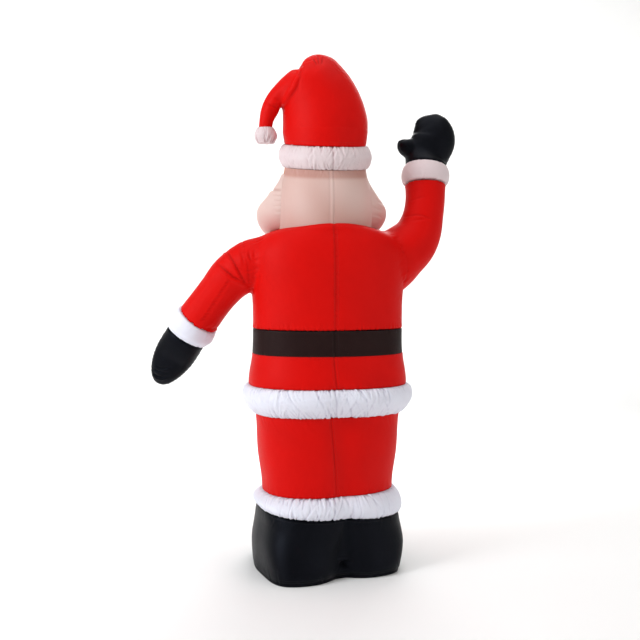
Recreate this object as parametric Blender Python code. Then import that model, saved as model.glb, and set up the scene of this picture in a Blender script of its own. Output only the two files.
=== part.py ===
"""Waving inflatable Father Christmas for the garden, sewn from coated cloth and filled with air.

Every cloth piece is one closed solid. The figure faces -Y, stands on z = 0, and waves its right
arm, which is at -X. Sizes are in metres.
"""

import math

import bmesh
import bpy
from mathutils import Vector

# The clearance that sewn pieces keep from each other
GAP = 0.0003
# The share of the way between two points of a path that gives its direction
SMALL_STEP = 0.01

# Heights of the pieces that are stacked from the floor up
BOOT_HEIGHT = 0.288
TROUSER_CUFF_HEIGHT = 0.082
TROUSER_HEIGHT = 0.363
HEM_HEIGHT = 0.131
SKIRT_HEIGHT = 0.145
BELT_HEIGHT = 0.113
COAT_HEIGHT = 0.500
HEAD_HEIGHT = 0.247
HAT_BAND_HEIGHT = 0.105

# Girths of the body: half the width, depth behind the axis, depth in front of it
FLOOR_PATCH = (0.315, 0.276, 0.390)
BOOT_LOW = (0.320, 0.290, 0.430)
BOOT_SIDE = (0.339, 0.264, 0.425)
INSTEP = (0.333, 0.250, 0.370)
ANKLE = (0.330, 0.243, 0.275)
SHIN = (0.309, 0.228, 0.250)
THIGH = (0.327, 0.246, 0.272)
HIP = (0.339, 0.254, 0.290)
SKIRT_EDGE = (0.369, 0.282, 0.312)
WAIST_LOW = (0.352, 0.256, 0.318)
WAIST_TOP = (0.349, 0.250, 0.314)
CHEST = (0.351, 0.250, 0.300)
ARMHOLE = (0.362, 0.250, 0.280)
SHOULDER = (0.352, 0.240, 0.258)
COLLAR = (0.288, 0.218, 0.225)
NAPE = (0.150, 0.200, 0.170)
CROWN_OF_COAT = (0.070, 0.130, 0.100)

# The shape of the body's cross-section and of its two legs
SQUARENESS = 2.35
HEEL_SQUARENESS = 5.0
TOE_SQUARENESS = 2.0
BOOT_TWIST_DEG = 13.5
BOOT_SHIFT = 0.028
BOOT_SEAM_TIP = 0.070
BOOT_SEAM_LEAN = 0.070
LEG_CLEFT_DEPTH = 0.016
LEG_CLEFT_WIDTH = 0.060
HEEL_CLEFT_DEPTH = 0.038
HEEL_CLEFT_WIDTH = 0.090
TOE_CLEFT_DEPTH = 0.110
TOE_CLEFT_WIDTH = 0.050

# White trims: how far they puff out, and their gathers
HEM_PUFF = 0.038
TROUSER_CUFF_PUFF = 0.030
HAT_BAND_PUFF = 0.026
ARM_CUFF_PUFF = 0.016
GATHER_DEPTH = 0.004
HEM_GATHERS = 16
HAT_BAND_GATHERS = 12
ARM_CUFF_GATHERS = 7

# Head: half width, depth behind and depth in front, from the nape up to the hat
HEAD_LOW = (0.212, 0.190, 0.195)
HEAD_MIDDLE = (0.216, 0.206, 0.212)
HEAD_EARS = (0.210, 0.206, 0.214)
HEAD_TOP = (0.189, 0.186, 0.190)
HEAD_LEAN = 0.011
HEAD_DIP = 0.065
HAT_TILT = 0.170

# Arms: points on the middle line with the radius there, from inside the shoulder to the fingertips.
# Their heights are from the top of the coat, as the beard's and the face's are.
LEFT_SLEEVE = [
    (0.190, 0.000, -0.172, 0.106),
    (0.290, 0.000, -0.184, 0.114),
    (0.363, -0.006, -0.207, 0.116),
    (0.444, -0.030, -0.257, 0.105),
    (0.503, -0.060, -0.323, 0.0935),
    (0.548, -0.090, -0.381, 0.0915),
    (0.586, -0.114, -0.435, 0.0950),
    (0.601, -0.124, -0.459, 0.0990),
]
LEFT_WRIST = [
    (0.633, -0.142, -0.503, 0.1000),
    (0.656, -0.155, -0.541, 0.0975),
]
LEFT_HAND = [
    (0.706, -0.175, -0.622, 0.0975),
    (0.738, -0.190, -0.675, 0.0875),
    (0.763, -0.200, -0.722, 0.0690),
    (0.779, -0.207, -0.759, 0.0430),
    (0.785, -0.210, -0.776, 0.0150),
]
LEFT_THUMB = [
    (0.668, -0.185, -0.587, 0.034),
    (0.672, -0.232, -0.612, 0.037),
    (0.688, -0.266, -0.650, 0.035),
    (0.697, -0.280, -0.672, 0.024),
    (0.700, -0.285, -0.684, 0.009),
]
RIGHT_SLEEVE = [
    (-0.160, 0.000, -0.237, 0.125),
    (-0.270, 0.000, -0.205, 0.145),
    (-0.359, 0.000, -0.141, 0.129),
    (-0.409, 0.000, -0.093, 0.1190),
    (-0.441, -0.003, -0.039, 0.1070),
    (-0.462, -0.010, 0.032, 0.0965),
    (-0.475, -0.025, 0.102, 0.0945),
    (-0.4800, -0.040, 0.158, 0.0960),
    (-0.4810, -0.045, 0.180, 0.0985),
]
RIGHT_WRIST = [
    (-0.4835, -0.054, 0.224, 0.0980),
    (-0.4870, -0.065, 0.267, 0.0970),
]
RIGHT_HAND = [
    (-0.493, -0.074, 0.303, 0.1010),
    (-0.514, -0.087, 0.354, 0.1060),
    (-0.534, -0.100, 0.400, 0.1085),
    (-0.527, -0.111, 0.445, 0.1020),
    (-0.511, -0.119, 0.480, 0.0820),
    (-0.497, -0.125, 0.505, 0.0540),
    (-0.492, -0.128, 0.518, 0.0200),
]
RIGHT_THUMB = [
    (-0.462, -0.080, 0.336, 0.034),
    (-0.425, -0.083, 0.346, 0.039),
    (-0.397, -0.087, 0.368, 0.040),
    (-0.383, -0.090, 0.388, 0.030),
    (-0.379, -0.090, 0.402, 0.011),
]
MITTEN_FLATNESS = 0.62
# The mitten flattens over this many points after the wrist
FLATTENING_SPAN = 1.5

# Hat: outer edge x and z, inner edge x and z, half depth. Heights are from the top of its band.
HAT_STATIONS = [
    (-0.187, 0.056, 0.209, 0.056, 0.197),
    (-0.184, 0.126, 0.208, 0.111, 0.190),
    (-0.156, 0.216, 0.209, 0.148, 0.180),
    (-0.108, 0.304, 0.2095, 0.155, 0.172),
    (-0.042, 0.379, 0.2105, 0.161, 0.160),
    (0.002, 0.405, 0.2120, 0.164, 0.151),
    (0.056, 0.411, 0.2135, 0.167, 0.141),
    (0.105, 0.390, 0.2155, 0.169, 0.127),
    (0.136, 0.348, 0.2185, 0.169, 0.108),
    (0.182, 0.329, 0.2215, 0.166, 0.085),
    (0.244, 0.270, 0.2250, 0.160, 0.062),
    (0.286, 0.214, 0.2300, 0.143, 0.047),
    (0.309, 0.158, 0.2370, 0.129, 0.039),
    (0.317, 0.108, 0.2515, 0.102, 0.033),
    (0.319, 0.075, 0.2590, 0.074, 0.030),
]
POMPOM_RADIUS = 0.052
POMPOM_HEIGHT = 0.071

# Beard with the hair beside the face: height, half width, back edge y, front edge y
BEARD_STATIONS = [
    (-0.222, 0.070, -0.235, -0.285),
    (-0.182, 0.145, -0.190, -0.315),
    (-0.122, 0.205, -0.120, -0.335),
    (-0.067, 0.248, -0.030, -0.340),
    (-0.032, 0.286, 0.040, -0.335),
    (0.018, 0.310, 0.078, -0.322),
    (0.068, 0.305, 0.084, -0.292),
    (0.118, 0.266, 0.080, -0.235),
    (0.178, 0.220, 0.070, -0.160),
    (0.220, 0.200, 0.050, -0.110),
]
FACE_OPENING_CENTRE = (HEAD_LEAN, -0.330, 0.183)
FACE_OPENING_RADII = (0.150, 0.220, 0.108)
MOUSTACHE_HALF = [
    (0.000, -0.312, 0.075, 0.019),
    (0.032, -0.312, 0.081, 0.029),
    (0.080, -0.300, 0.075, 0.030),
    (0.122, -0.278, 0.056, 0.020),
    (0.146, -0.262, 0.050, 0.007),
]
NOSE_RADIUS = 0.036
NOSE_CENTRE = (HEAD_LEAN, -0.232, 0.146)

# Front trim, buckle, and the outlet for the lead behind the boots
FRONT_TRIM_WIDTH = 0.105
FRONT_TRIM_PUFF = 0.014
BUCKLE_WIDTH = 0.160
BUCKLE_PUFF = 0.016
TRIM_MARGIN = 0.006
OUTLET_WIDTH = 0.046
OUTLET_HEIGHT = 0.058
OUTLET_BOTTOM = 0.046
OUTLET_DEPTH = 0.052
OUTLET_KNOT_RADIUS = 0.015
OUTLET_KNOT_LENGTH = 0.024

# Faces around a piece
BODY_SEGMENTS = 36
BOOT_SEGMENTS = 40
TRIM_SEGMENTS = 56
HAT_BAND_SEGMENTS = 44
HEAD_SEGMENTS = 32
BEARD_SEGMENTS = 24
HAT_SEGMENTS = 24
ARM_SEGMENTS = 16

# Colours of the cloth
RED = "D8180C"
WHITE = "E9E4EA"
HAIR_WHITE = "E4D6D0"
BLACK = "15151A"
BELT_BLACK = "2A1D1C"
SKIN = "E9B48F"
GOLD = "D9A520"

# Levels of the seams
BOOT_TOP = BOOT_HEIGHT
TROUSER_CUFF_TOP = BOOT_TOP + TROUSER_CUFF_HEIGHT
TROUSER_TOP = TROUSER_CUFF_TOP + TROUSER_HEIGHT
HEM_TOP = TROUSER_TOP + HEM_HEIGHT
SKIRT_TOP = HEM_TOP + SKIRT_HEIGHT
BELT_TOP = SKIRT_TOP + BELT_HEIGHT
COAT_TOP = BELT_TOP + COAT_HEIGHT
HEAD_TOP_Z = COAT_TOP + HEAD_HEIGHT
HAT_BAND_TOP = HEAD_TOP_Z + HAT_BAND_HEIGHT

# The body's girths by height, some at a share of their piece
BODY_STATIONS = [
    (0.0, FLOOR_PATCH),
    (0.14 * BOOT_HEIGHT, BOOT_LOW),
    (0.48 * BOOT_HEIGHT, BOOT_SIDE),
    (0.78 * BOOT_HEIGHT, INSTEP),
    (BOOT_TOP, ANKLE),
    (TROUSER_CUFF_TOP, SHIN),
    (TROUSER_CUFF_TOP + 0.5 * TROUSER_HEIGHT, THIGH),
    (TROUSER_TOP, HIP),
    (HEM_TOP, SKIRT_EDGE),
    (SKIRT_TOP, WAIST_LOW),
    (BELT_TOP, WAIST_TOP),
    (BELT_TOP + 0.28 * COAT_HEIGHT, CHEST),
    (BELT_TOP + 0.57 * COAT_HEIGHT, ARMHOLE),
    (BELT_TOP + 0.74 * COAT_HEIGHT, SHOULDER),
    (BELT_TOP + 0.88 * COAT_HEIGHT, COLLAR),
    (BELT_TOP + 0.96 * COAT_HEIGHT, NAPE),
    (COAT_TOP, CROWN_OF_COAT),
]
HEAD_STATIONS = [
    (COAT_TOP - HEAD_DIP, HEAD_LOW),
    (COAT_TOP + 0.16 * HEAD_HEIGHT, HEAD_MIDDLE),
    (COAT_TOP + 0.55 * HEAD_HEIGHT, HEAD_EARS),
    (HEAD_TOP_Z, HEAD_TOP),
    (HAT_BAND_TOP, HEAD_TOP),
]


def clear_scene():
    for item in list(bpy.data.objects):
        bpy.data.objects.remove(item, do_unlink=True)


def linear(hex_colour):
    """An sRGB hex colour as linear RGBA."""
    values = [int(hex_colour[i : i + 2], 16) / 255 for i in (0, 2, 4)]
    return [v / 12.92 if v <= 0.04045 else ((v + 0.055) / 1.055) ** 2.4 for v in values] + [1.0]


def cloth(name, hex_colour, roughness=0.55):
    material = bpy.data.materials.new(name)
    material.use_nodes = True
    shader = material.node_tree.nodes["Principled BSDF"]
    shader.inputs["Base Color"].default_value = linear(hex_colour)
    shader.inputs["Roughness"].default_value = roughness
    shader.inputs["Metallic"].default_value = 0.0
    return material


def along(stations, x):
    """The values at x on smooth curves through stations of (x, values)."""
    last = len(stations) - 1
    i = max(0, min(last - 1, sum(1 for station in stations[1:-1] if station[0] <= x)))
    (x0, a), (x1, b) = stations[i], stations[i + 1]
    before, after = stations[max(i - 1, 0)], stations[min(i + 2, last)]
    span = x1 - x0
    t = min(1.0, max(0.0, (x - x0) / span))
    values = []
    for k in range(len(a)):
        slope_a = (b[k] - before[1][k]) / (x1 - before[0])
        slope_b = (after[1][k] - a[k]) / (after[0] - x0)
        values.append(
            a[k] * (1 + 2 * t) * (1 - t) ** 2
            + b[k] * t * t * (3 - 2 * t)
            + span * slope_a * t * (1 - t) ** 2
            + span * slope_b * t * t * (t - 1)
        )
    return values


def raised(points, height, places=(2,)):
    """The same points, with the values at these places measured from a height."""
    return [
        tuple(value + height if i in places else value for i, value in enumerate(point))
        for point in points
    ]


def fade(x, start, end):
    """0 before start, 1 after end, smooth between them."""
    t = min(1.0, max(0.0, (x - start) / (end - start)))
    return t * t * (3 - 2 * t)


def oval(girth, angle, grow, squareness=SQUARENESS, rear_squareness=None):
    """A point of a rounded-square oval that is deeper on one side than on the other."""
    half, rear, front = girth
    c, s = math.cos(angle), math.sin(angle)
    power = 2 / (rear_squareness if rear_squareness and s > 0 else squareness)
    x = (half + grow) * math.copysign(abs(c) ** power, c)
    y = ((rear if s > 0 else front) + grow) * math.copysign(abs(s) ** power, s)
    return x, y


def body_point(z, angle, grow=0.0):
    """A point of the body's skin, with the two legs' clefts and the twist of the boots."""
    legs = 1 - fade(z, TROUSER_TOP, SKIRT_TOP)
    toes = 1 - fade(z, 0.5 * BOOT_HEIGHT, BOOT_TOP)
    heels = 1 - fade(z, 0, TROUSER_CUFF_TOP)
    rear_squareness = SQUARENESS + (HEEL_SQUARENESS - SQUARENESS) * heels
    front_squareness = SQUARENESS + (TOE_SQUARENESS - SQUARENESS) * toes
    x, y = oval(along(BODY_STATIONS, z), angle, grow, front_squareness, rear_squareness)
    if y > 0:
        y -= LEG_CLEFT_DEPTH * legs * math.exp(-((x / LEG_CLEFT_WIDTH) ** 2))
        y -= HEEL_CLEFT_DEPTH * heels * math.exp(-((x / HEEL_CLEFT_WIDTH) ** 2))
    else:
        y += LEG_CLEFT_DEPTH * legs * math.exp(-((x / LEG_CLEFT_WIDTH) ** 2))
        y += TOE_CLEFT_DEPTH * toes * math.exp(-((x / TOE_CLEFT_WIDTH) ** 2))
    x += BOOT_SHIFT * (1 - fade(z, 0, 0.8 * BOOT_HEIGHT))
    turn = math.radians(BOOT_TWIST_DEG) * (1 - fade(z, 0.3 * TROUSER_TOP, BELT_TOP))
    c, s = math.cos(turn), math.sin(turn)
    x, y = x * c - y * s, x * s + y * c
    # The seam above the boots dips behind and rises over the insteps and at the left
    seam = fade(z, 0, BOOT_TOP) * (1 - fade(z, BOOT_TOP, TROUSER_CUFF_TOP))
    return Vector((x, y, z + seam * (BOOT_SEAM_LEAN * x - BOOT_SEAM_TIP * y)))


def head_point(z, angle, grow=0.0):
    """A point of the head's skin. Its rings tip down behind, up to the hat."""
    x, y = oval(along(HEAD_STATIONS, z), angle, grow, squareness=2.1)
    tip = HAT_TILT * fade(z, COAT_TOP, HEAD_TOP_Z)
    return Vector((x + HEAD_LEAN, y, z - tip * y))


def beard_point(z, angle, grow=0.0):
    stations = [(COAT_TOP + s[0], s[1:]) for s in BEARD_STATIONS]
    half, rear, front = along(stations, z)
    depth = (rear - front) / 2
    x, y = oval((half, depth, depth), angle, grow, squareness=2.3)
    return Vector((x + HEAD_LEAN, (rear + front) / 2 + y, z))


def closed_rings(name, rings, material=None, smooth=True):
    """One closed solid through rings of points, with a flat face at each end."""
    mesh = bpy.data.meshes.new(name)
    shape = bmesh.new()
    loops = [[shape.verts.new(point) for point in ring] for ring in rings]
    count = len(rings[0])
    for low, high in zip(loops, loops[1:]):
        for i in range(count):
            j = (i + 1) % count
            shape.faces.new((low[i], low[j], high[j], high[i]))
    shape.faces.new(loops[0])
    shape.faces.new(loops[-1])
    bmesh.ops.recalc_face_normals(shape, faces=shape.faces[:])
    # Flat triangles, so that a piece and the form that cuts it have the same facets
    bmesh.ops.triangulate(shape, faces=shape.faces[:], quad_method="FIXED")
    shape.to_mesh(mesh)
    shape.free()
    if smooth:
        mesh.shade_smooth()
        mesh.set_sharp_from_angle(angle=math.radians(50))
    made = bpy.data.objects.new(name, mesh)
    if material:
        mesh.materials.append(material)
    bpy.context.collection.objects.link(made)
    return made


def angles(count):
    return [2 * math.pi * i / count for i in range(count)]


def spread(low, high, count):
    return [low + (high - low) * i / count for i in range(count + 1)]


def slab(name, point, levels, segments, material, grow=0.0):
    """The stretch of a form between its first level and its last."""
    rings = [[point(z, angle, grow) for angle in angles(segments)] for z in levels]
    return closed_rings(name, rings, material)


def puffed_band(name, point, low, high, segments, puff, gathers, material):
    """A trim that puffs out between its two seams and is gathered around its edge."""
    rings = []
    for share in (0.0, 0.14, 0.5, 0.86, 1.0):
        swell = math.sin(math.pi * (0.04 + 0.92 * share)) ** 0.7
        ring = []
        for angle in angles(segments):
            gather = GATHER_DEPTH * math.cos(gathers * angle)
            ring.append(point(low + (high - low) * share, angle, swell * (puff + gather)))
        rings.append(ring)
    return closed_rings(name, rings, material)


def cutter_from(piece):
    piece.hide_render = True
    piece.display_type = "WIRE"
    return piece


def combine(piece, other, operation):
    step = piece.modifiers.new(f"{operation.lower()} {other.name}", "BOOLEAN")
    step.operation = operation
    step.solver = "EXACT"
    step.object = other


def path_rings(points, low, high, rows, segments, swell=None, flatness=1.0, flat_from=None):
    """Rings across a smooth path between two of its points, which are counted from 0."""
    stations = list(enumerate(points))
    rings = []
    for u in spread(low, high, rows):
        x, y, z, radius = along(stations, u)
        before = Vector(along(stations, max(u - SMALL_STEP, 0))[:3])
        after = Vector(along(stations, min(u + SMALL_STEP, len(points) - 1))[:3])
        ahead = (after - before).normalized()
        side = ahead.cross(Vector((0, 1, 0))).normalized()
        back = side.cross(ahead)
        flat = 1.0
        if flat_from is not None:
            flat = 1 + (flatness - 1) * fade(u, flat_from, flat_from + FLATTENING_SPAN)
        ring = []
        for angle in angles(segments):
            reach = radius + (swell(u, angle) if swell else 0.0)
            across = side * math.cos(angle) * reach
            ring.append(Vector((x, y, z)) + across + back * math.sin(angle) * reach * flat)
        rings.append(ring)
    return rings


def arm(side_name, sleeve, wrist, hand, thumb, coat_cutter, red, white, black):
    """A sleeve, its white cuff and its mitten, one after another on one path."""
    path = raised(sleeve + wrist + hand, COAT_TOP)
    thumb = raised(thumb, COAT_TOP)
    sleeve_end = len(sleeve) - 1
    wrist_end = sleeve_end + len(wrist)
    last = len(path) - 1
    rings = path_rings(path, 0, sleeve_end, len(sleeve) + 1, ARM_SEGMENTS)
    sleeve_piece = closed_rings(f"sleeve_{side_name}", rings, red)
    combine(sleeve_piece, coat_cutter, "DIFFERENCE")

    def step(u):
        stations = list(enumerate(path))
        a, b = (Vector(along(stations, v)[:3]) for v in (u, u + SMALL_STEP))
        return SMALL_STEP * GAP / (b - a).length

    cuff_low = sleeve_end + step(sleeve_end)
    cuff_high = wrist_end - step(wrist_end - SMALL_STEP)

    def puff(u, angle):
        share = (u - cuff_low) / (cuff_high - cuff_low)
        rise = math.sin(math.pi * (0.05 + 0.9 * share)) ** 0.7
        return rise * (ARM_CUFF_PUFF + 0.5 * GATHER_DEPTH * math.cos(ARM_CUFF_GATHERS * angle))

    rings = path_rings(path, cuff_low, cuff_high, 4, 28, swell=puff)
    closed_rings(f"cuff_{side_name}", rings, white)
    rings = path_rings(
        path,
        wrist_end,
        last,
        len(hand) + 3,
        ARM_SEGMENTS,
        flatness=MITTEN_FLATNESS,
        flat_from=wrist_end,
    )
    mitten = closed_rings(f"mitten_{side_name}", rings, black)
    rings = path_rings(thumb, 0, len(thumb) - 1, 5, 10)
    combine(mitten, cutter_from(closed_rings(f"thumb_form_{side_name}", rings)), "UNION")


def hat_ring(values, segments):
    outer_x, outer_z, inner_x, inner_z, depth = values
    middle = Vector(((outer_x + inner_x) / 2, 0, (outer_z + inner_z) / 2))
    half = Vector(((inner_x - outer_x) / 2, 0, (inner_z - outer_z) / 2))
    return [
        middle + half * math.cos(angle) + Vector((0, depth * math.sin(angle), 0))
        for angle in angles(segments)
    ]


def hat(material):
    """The hat, which bends over at the top and hangs down at its left side, and its pompom."""
    foot = [head_point(HAT_BAND_TOP + GAP, angle) for angle in angles(HAT_SEGMENTS)]
    stations = raised(HAT_STATIONS, HAT_BAND_TOP, (1, 3))
    rings = [foot] + [hat_ring(station, HAT_SEGMENTS) for station in stations]
    closed_rings("hat", rings, material)


def pompom(material):
    outer_x, outer_z, inner_x, inner_z, depth = HAT_STATIONS[-1]
    x, top = (outer_x + inner_x) / 2, HAT_BAND_TOP + min(outer_z, inner_z) - GAP
    rings = []
    for share in (0.0, 0.18, 0.5, 0.82, 1.0):
        reach = POMPOM_RADIUS * (0.62 + 0.38 * math.sin(math.pi * (0.08 + 0.84 * share)))
        level = top - POMPOM_HEIGHT * share
        rings.append(
            [
                Vector((x + reach * math.cos(a), reach * math.sin(a), level))
                for a in angles(16)
            ]
        )
    closed_rings("pompom", rings, material)


def front_angle(z, x):
    """The angle at which the front of the body has this x, before the twist."""
    half = along(BODY_STATIONS, z)[0]
    return -math.acos(min(1.0, abs(x) / half) ** (SQUARENESS / 2)) if x >= 0 else (
        -math.pi + math.acos(min(1.0, abs(x) / half) ** (SQUARENESS / 2))
    )


def front_pad(name, low, high, rows, width, puff, material, cutters):
    """A crowned pad on the front of the body, cut to the body's skin."""
    columns = 6
    rings = []
    for z in spread(low, high, rows):
        ring = []
        for grow, order in ((puff, 1), (-0.02, -1)):
            for k in range(columns + 1)[::order]:
                x = width * (k / columns - 0.5)
                crown = 1 - 0.55 * (2 * x / width) ** 4
                ring.append(body_point(z, front_angle(z, x), grow * crown if grow > 0 else grow))
        rings.append(ring)
    pad = closed_rings(name, rings, material)
    for other in cutters:
        combine(pad, other, "DIFFERENCE")


def lead_outlet(boots, material):
    """The pocket low behind the boots, and the gathered outlet for the lead inside it."""
    turn = math.radians(BOOT_TWIST_DEG)
    level = OUTLET_BOTTOM + OUTLET_HEIGHT / 2
    skin = body_point(level, math.pi / 2)
    outward = Vector((-math.sin(turn), math.cos(turn), 0))
    across = Vector((math.cos(turn), math.sin(turn), 0))
    outline = []
    for angle in spread(0, math.pi, 6):
        outline.append((0.40 * OUTLET_WIDTH * math.cos(angle), 0.40 * OUTLET_WIDTH * math.sin(angle)))
    rise = OUTLET_HEIGHT - 0.40 * OUTLET_WIDTH
    outline = [(x, z + rise) for x, z in outline] + [(-OUTLET_WIDTH / 2, 0), (OUTLET_WIDTH / 2, 0)]
    rings = []
    for reach in (-OUTLET_DEPTH, OUTLET_DEPTH):
        middle = Vector((skin.x, skin.y, OUTLET_BOTTOM)) + outward * reach
        rings.append([middle + across * x + Vector((0, 0, z)) for x, z in outline])
    combine(boots, cutter_from(closed_rings("outlet_form", rings)), "DIFFERENCE")
    rings = []
    back = Vector((skin.x, skin.y, level)) - outward * (OUTLET_DEPTH - GAP)
    for share, size in ((0.0, 1.0), (0.45, 0.80), (0.7, 0.55), (0.86, 0.85), (1.0, 0.5)):
        middle = back + outward * OUTLET_KNOT_LENGTH * share
        rings.append(
            [
                middle
                + (across * math.cos(a) + Vector((0, 0, math.sin(a)))) * OUTLET_KNOT_RADIUS * size
                for a in angles(12)
            ]
        )
    closed_rings("lead_outlet", rings, material)


def head_halves(hair, skin, coat_cutter):
    """The head as a white back panel and a face, parted at the side seams."""
    levels = [s[0] for s in HEAD_STATIONS[:2]] + spread(HEAD_STATIONS[1][0], HEAD_TOP_Z, 5)[1:]
    levels[-1] -= GAP
    for name, start, apart, material in (
        ("head_back", 0, GAP / 2, hair),
        ("face", math.pi, -GAP / 2, skin),
    ):
        rings = [
            [
                head_point(z, angle) + Vector((0, apart, 0))
                for angle in spread(start, start + math.pi, HEAD_SEGMENTS // 2)
            ]
            for z in levels
        ]
        combine(closed_rings(name, rings, material), coat_cutter, "DIFFERENCE")


def ball_rings(centre, radii, rows, segments):
    rings = []
    for tilt in spread(-0.47 * math.pi, 0.47 * math.pi, rows):
        reach = math.cos(tilt)
        rings.append(
            [
                Vector(centre)
                + Vector(
                    (
                        radii[0] * reach * math.cos(a),
                        radii[1] * reach * math.sin(a),
                        radii[2] * math.sin(tilt),
                    )
                )
                for a in angles(segments)
            ]
        )
    return rings


def beard_and_face(hair, white, skin, coat_cutter):
    """The beard, moustache and nose, each fitted to what is behind it."""
    head_levels = [s[0] for s in HEAD_STATIONS[:2]] + spread(HEAD_STATIONS[1][0], HEAD_TOP_Z, 5)[1:]
    head_levels[-1] += GAP
    head_cutter = cutter_from(slab("head_form", head_point, head_levels, HEAD_SEGMENTS, None, grow=GAP))
    beard_levels = [COAT_TOP + s[0] for s in BEARD_STATIONS]
    beard = slab("beard", beard_point, beard_levels, BEARD_SEGMENTS, hair)
    opening_centre = raised([FACE_OPENING_CENTRE], COAT_TOP)[0]
    opening = ball_rings(opening_centre, FACE_OPENING_RADII, 6, 14)
    combine(beard, coat_cutter, "DIFFERENCE")
    combine(beard, head_cutter, "DIFFERENCE")
    combine(beard, cutter_from(closed_rings("face_opening_form", opening)), "DIFFERENCE")
    beard_form = slab("beard_form", beard_point, beard_levels, BEARD_SEGMENTS, None, grow=GAP)
    beard_cutter = cutter_from(beard_form)
    mirrored = [(-x, y, z, r) for x, y, z, r in MOUSTACHE_HALF[:0:-1]]
    path = [(x + HEAD_LEAN, y, COAT_TOP + z, r) for x, y, z, r in mirrored + MOUSTACHE_HALF]
    moustache = closed_rings("moustache", path_rings(path, 0, len(path) - 1, 10, 8), white)
    combine(moustache, beard_cutter, "DIFFERENCE")
    combine(moustache, head_cutter, "DIFFERENCE")
    radii = (NOSE_RADIUS, NOSE_RADIUS, 0.9 * NOSE_RADIUS)
    nose_centre = raised([NOSE_CENTRE], COAT_TOP)[0]
    nose = closed_rings("nose", ball_rings(nose_centre, radii, 5, 10), skin)
    combine(nose, head_cutter, "DIFFERENCE")


def build():
    clear_scene()
    red = cloth("red coated polyester", RED)
    white = cloth("white coated polyester", WHITE)
    hair = cloth("hair white coated polyester", HAIR_WHITE)
    black = cloth("black coated polyester", BLACK, roughness=0.45)
    belt_black = cloth("belt black coated polyester", BELT_BLACK)
    skin = cloth("skin coated polyester", SKIN)
    gold = cloth("gold yellow coated polyester", GOLD)

    boot_shares = (0.0, 0.05, 0.14, 0.30, 0.48, 0.64, 0.78, 0.90, 1.0)
    boot_levels = [BOOT_TOP * share for share in boot_shares]
    boots = slab("boots", body_point, boot_levels, BOOT_SEGMENTS, black)
    lead_outlet(boots, black)
    puffed_band(
        "trouser_cuff",
        body_point,
        BOOT_TOP + GAP,
        TROUSER_CUFF_TOP,
        TRIM_SEGMENTS,
        TROUSER_CUFF_PUFF,
        HEM_GATHERS,
        white,
    )
    trouser_levels = spread(TROUSER_CUFF_TOP + GAP, TROUSER_TOP, 3)
    slab("trousers", body_point, trouser_levels, BODY_SEGMENTS, red)
    puffed_band(
        "coat_hem",
        body_point,
        TROUSER_TOP + GAP,
        HEM_TOP,
        TRIM_SEGMENTS,
        HEM_PUFF,
        HEM_GATHERS,
        white,
    )
    skirt_levels = spread(HEM_TOP + GAP, SKIRT_TOP, 2)
    slab("coat_skirt", body_point, skirt_levels, BODY_SEGMENTS, red)
    belt_levels = spread(SKIRT_TOP + GAP, BELT_TOP, 1)
    slab("belt", body_point, belt_levels, BODY_SEGMENTS, belt_black)
    coat_shares = (0.0, 0.28, 0.50, 0.66, 0.76, 0.84, 0.90, 0.95, 0.98, 1.0)
    coat_levels = [BELT_TOP + GAP + (COAT_HEIGHT - GAP) * share for share in coat_shares]
    slab("coat_body", body_point, coat_levels, BODY_SEGMENTS, red)

    coat_form = [
        [body_point(z, angle, GAP) + Vector((0, 0, GAP)) for angle in angles(BODY_SEGMENTS)]
        for z in coat_levels
    ]
    coat_cutter = cutter_from(closed_rings("coat_form", coat_form))
    arm(
        "left", LEFT_SLEEVE, LEFT_WRIST, LEFT_HAND, LEFT_THUMB, coat_cutter, red, white, black
    )
    arm(
        "right", RIGHT_SLEEVE, RIGHT_WRIST, RIGHT_HAND, RIGHT_THUMB, coat_cutter, red, white, black
    )
    head_halves(hair, skin, coat_cutter)
    beard_and_face(hair, white, skin, coat_cutter)
    puffed_band(
        "hat_band",
        head_point,
        HEAD_TOP_Z + GAP,
        HAT_BAND_TOP,
        HAT_BAND_SEGMENTS,
        HAT_BAND_PUFF,
        HAT_BAND_GATHERS,
        white,
    )
    hat(red)
    pompom(white)

    skirt_form = slab("skirt_form", body_point, skirt_levels, BODY_SEGMENTS, None, grow=GAP)
    belt_form = slab("belt_form", body_point, belt_levels, BODY_SEGMENTS, None, grow=GAP)
    front_pad(
        "front_trim_lower",
        HEM_TOP + TRIM_MARGIN,
        SKIRT_TOP - TRIM_MARGIN,
        3,
        FRONT_TRIM_WIDTH,
        FRONT_TRIM_PUFF,
        white,
        [cutter_from(skirt_form)],
    )
    front_pad(
        "belt_buckle",
        SKIRT_TOP + TRIM_MARGIN,
        BELT_TOP - TRIM_MARGIN,
        2,
        BUCKLE_WIDTH,
        BUCKLE_PUFF,
        gold,
        [cutter_from(belt_form)],
    )
    front_pad(
        "front_trim_upper",
        BELT_TOP + TRIM_MARGIN,
        COAT_TOP + BEARD_STATIONS[0][0] - TRIM_MARGIN,
        5,
        FRONT_TRIM_WIDTH,
        FRONT_TRIM_PUFF,
        white,
        [coat_cutter],
    )


build()
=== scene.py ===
"""The looks of the waving inflatable Father Christmas: its sewn cloth, seams, gathers and light.

Every piece of cloth is a fine skin over the solid that it stands for. Sizes are in metres.
"""

import math

import bmesh
import bpy
import numpy as np
from mathutils import Matrix, Vector


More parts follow.
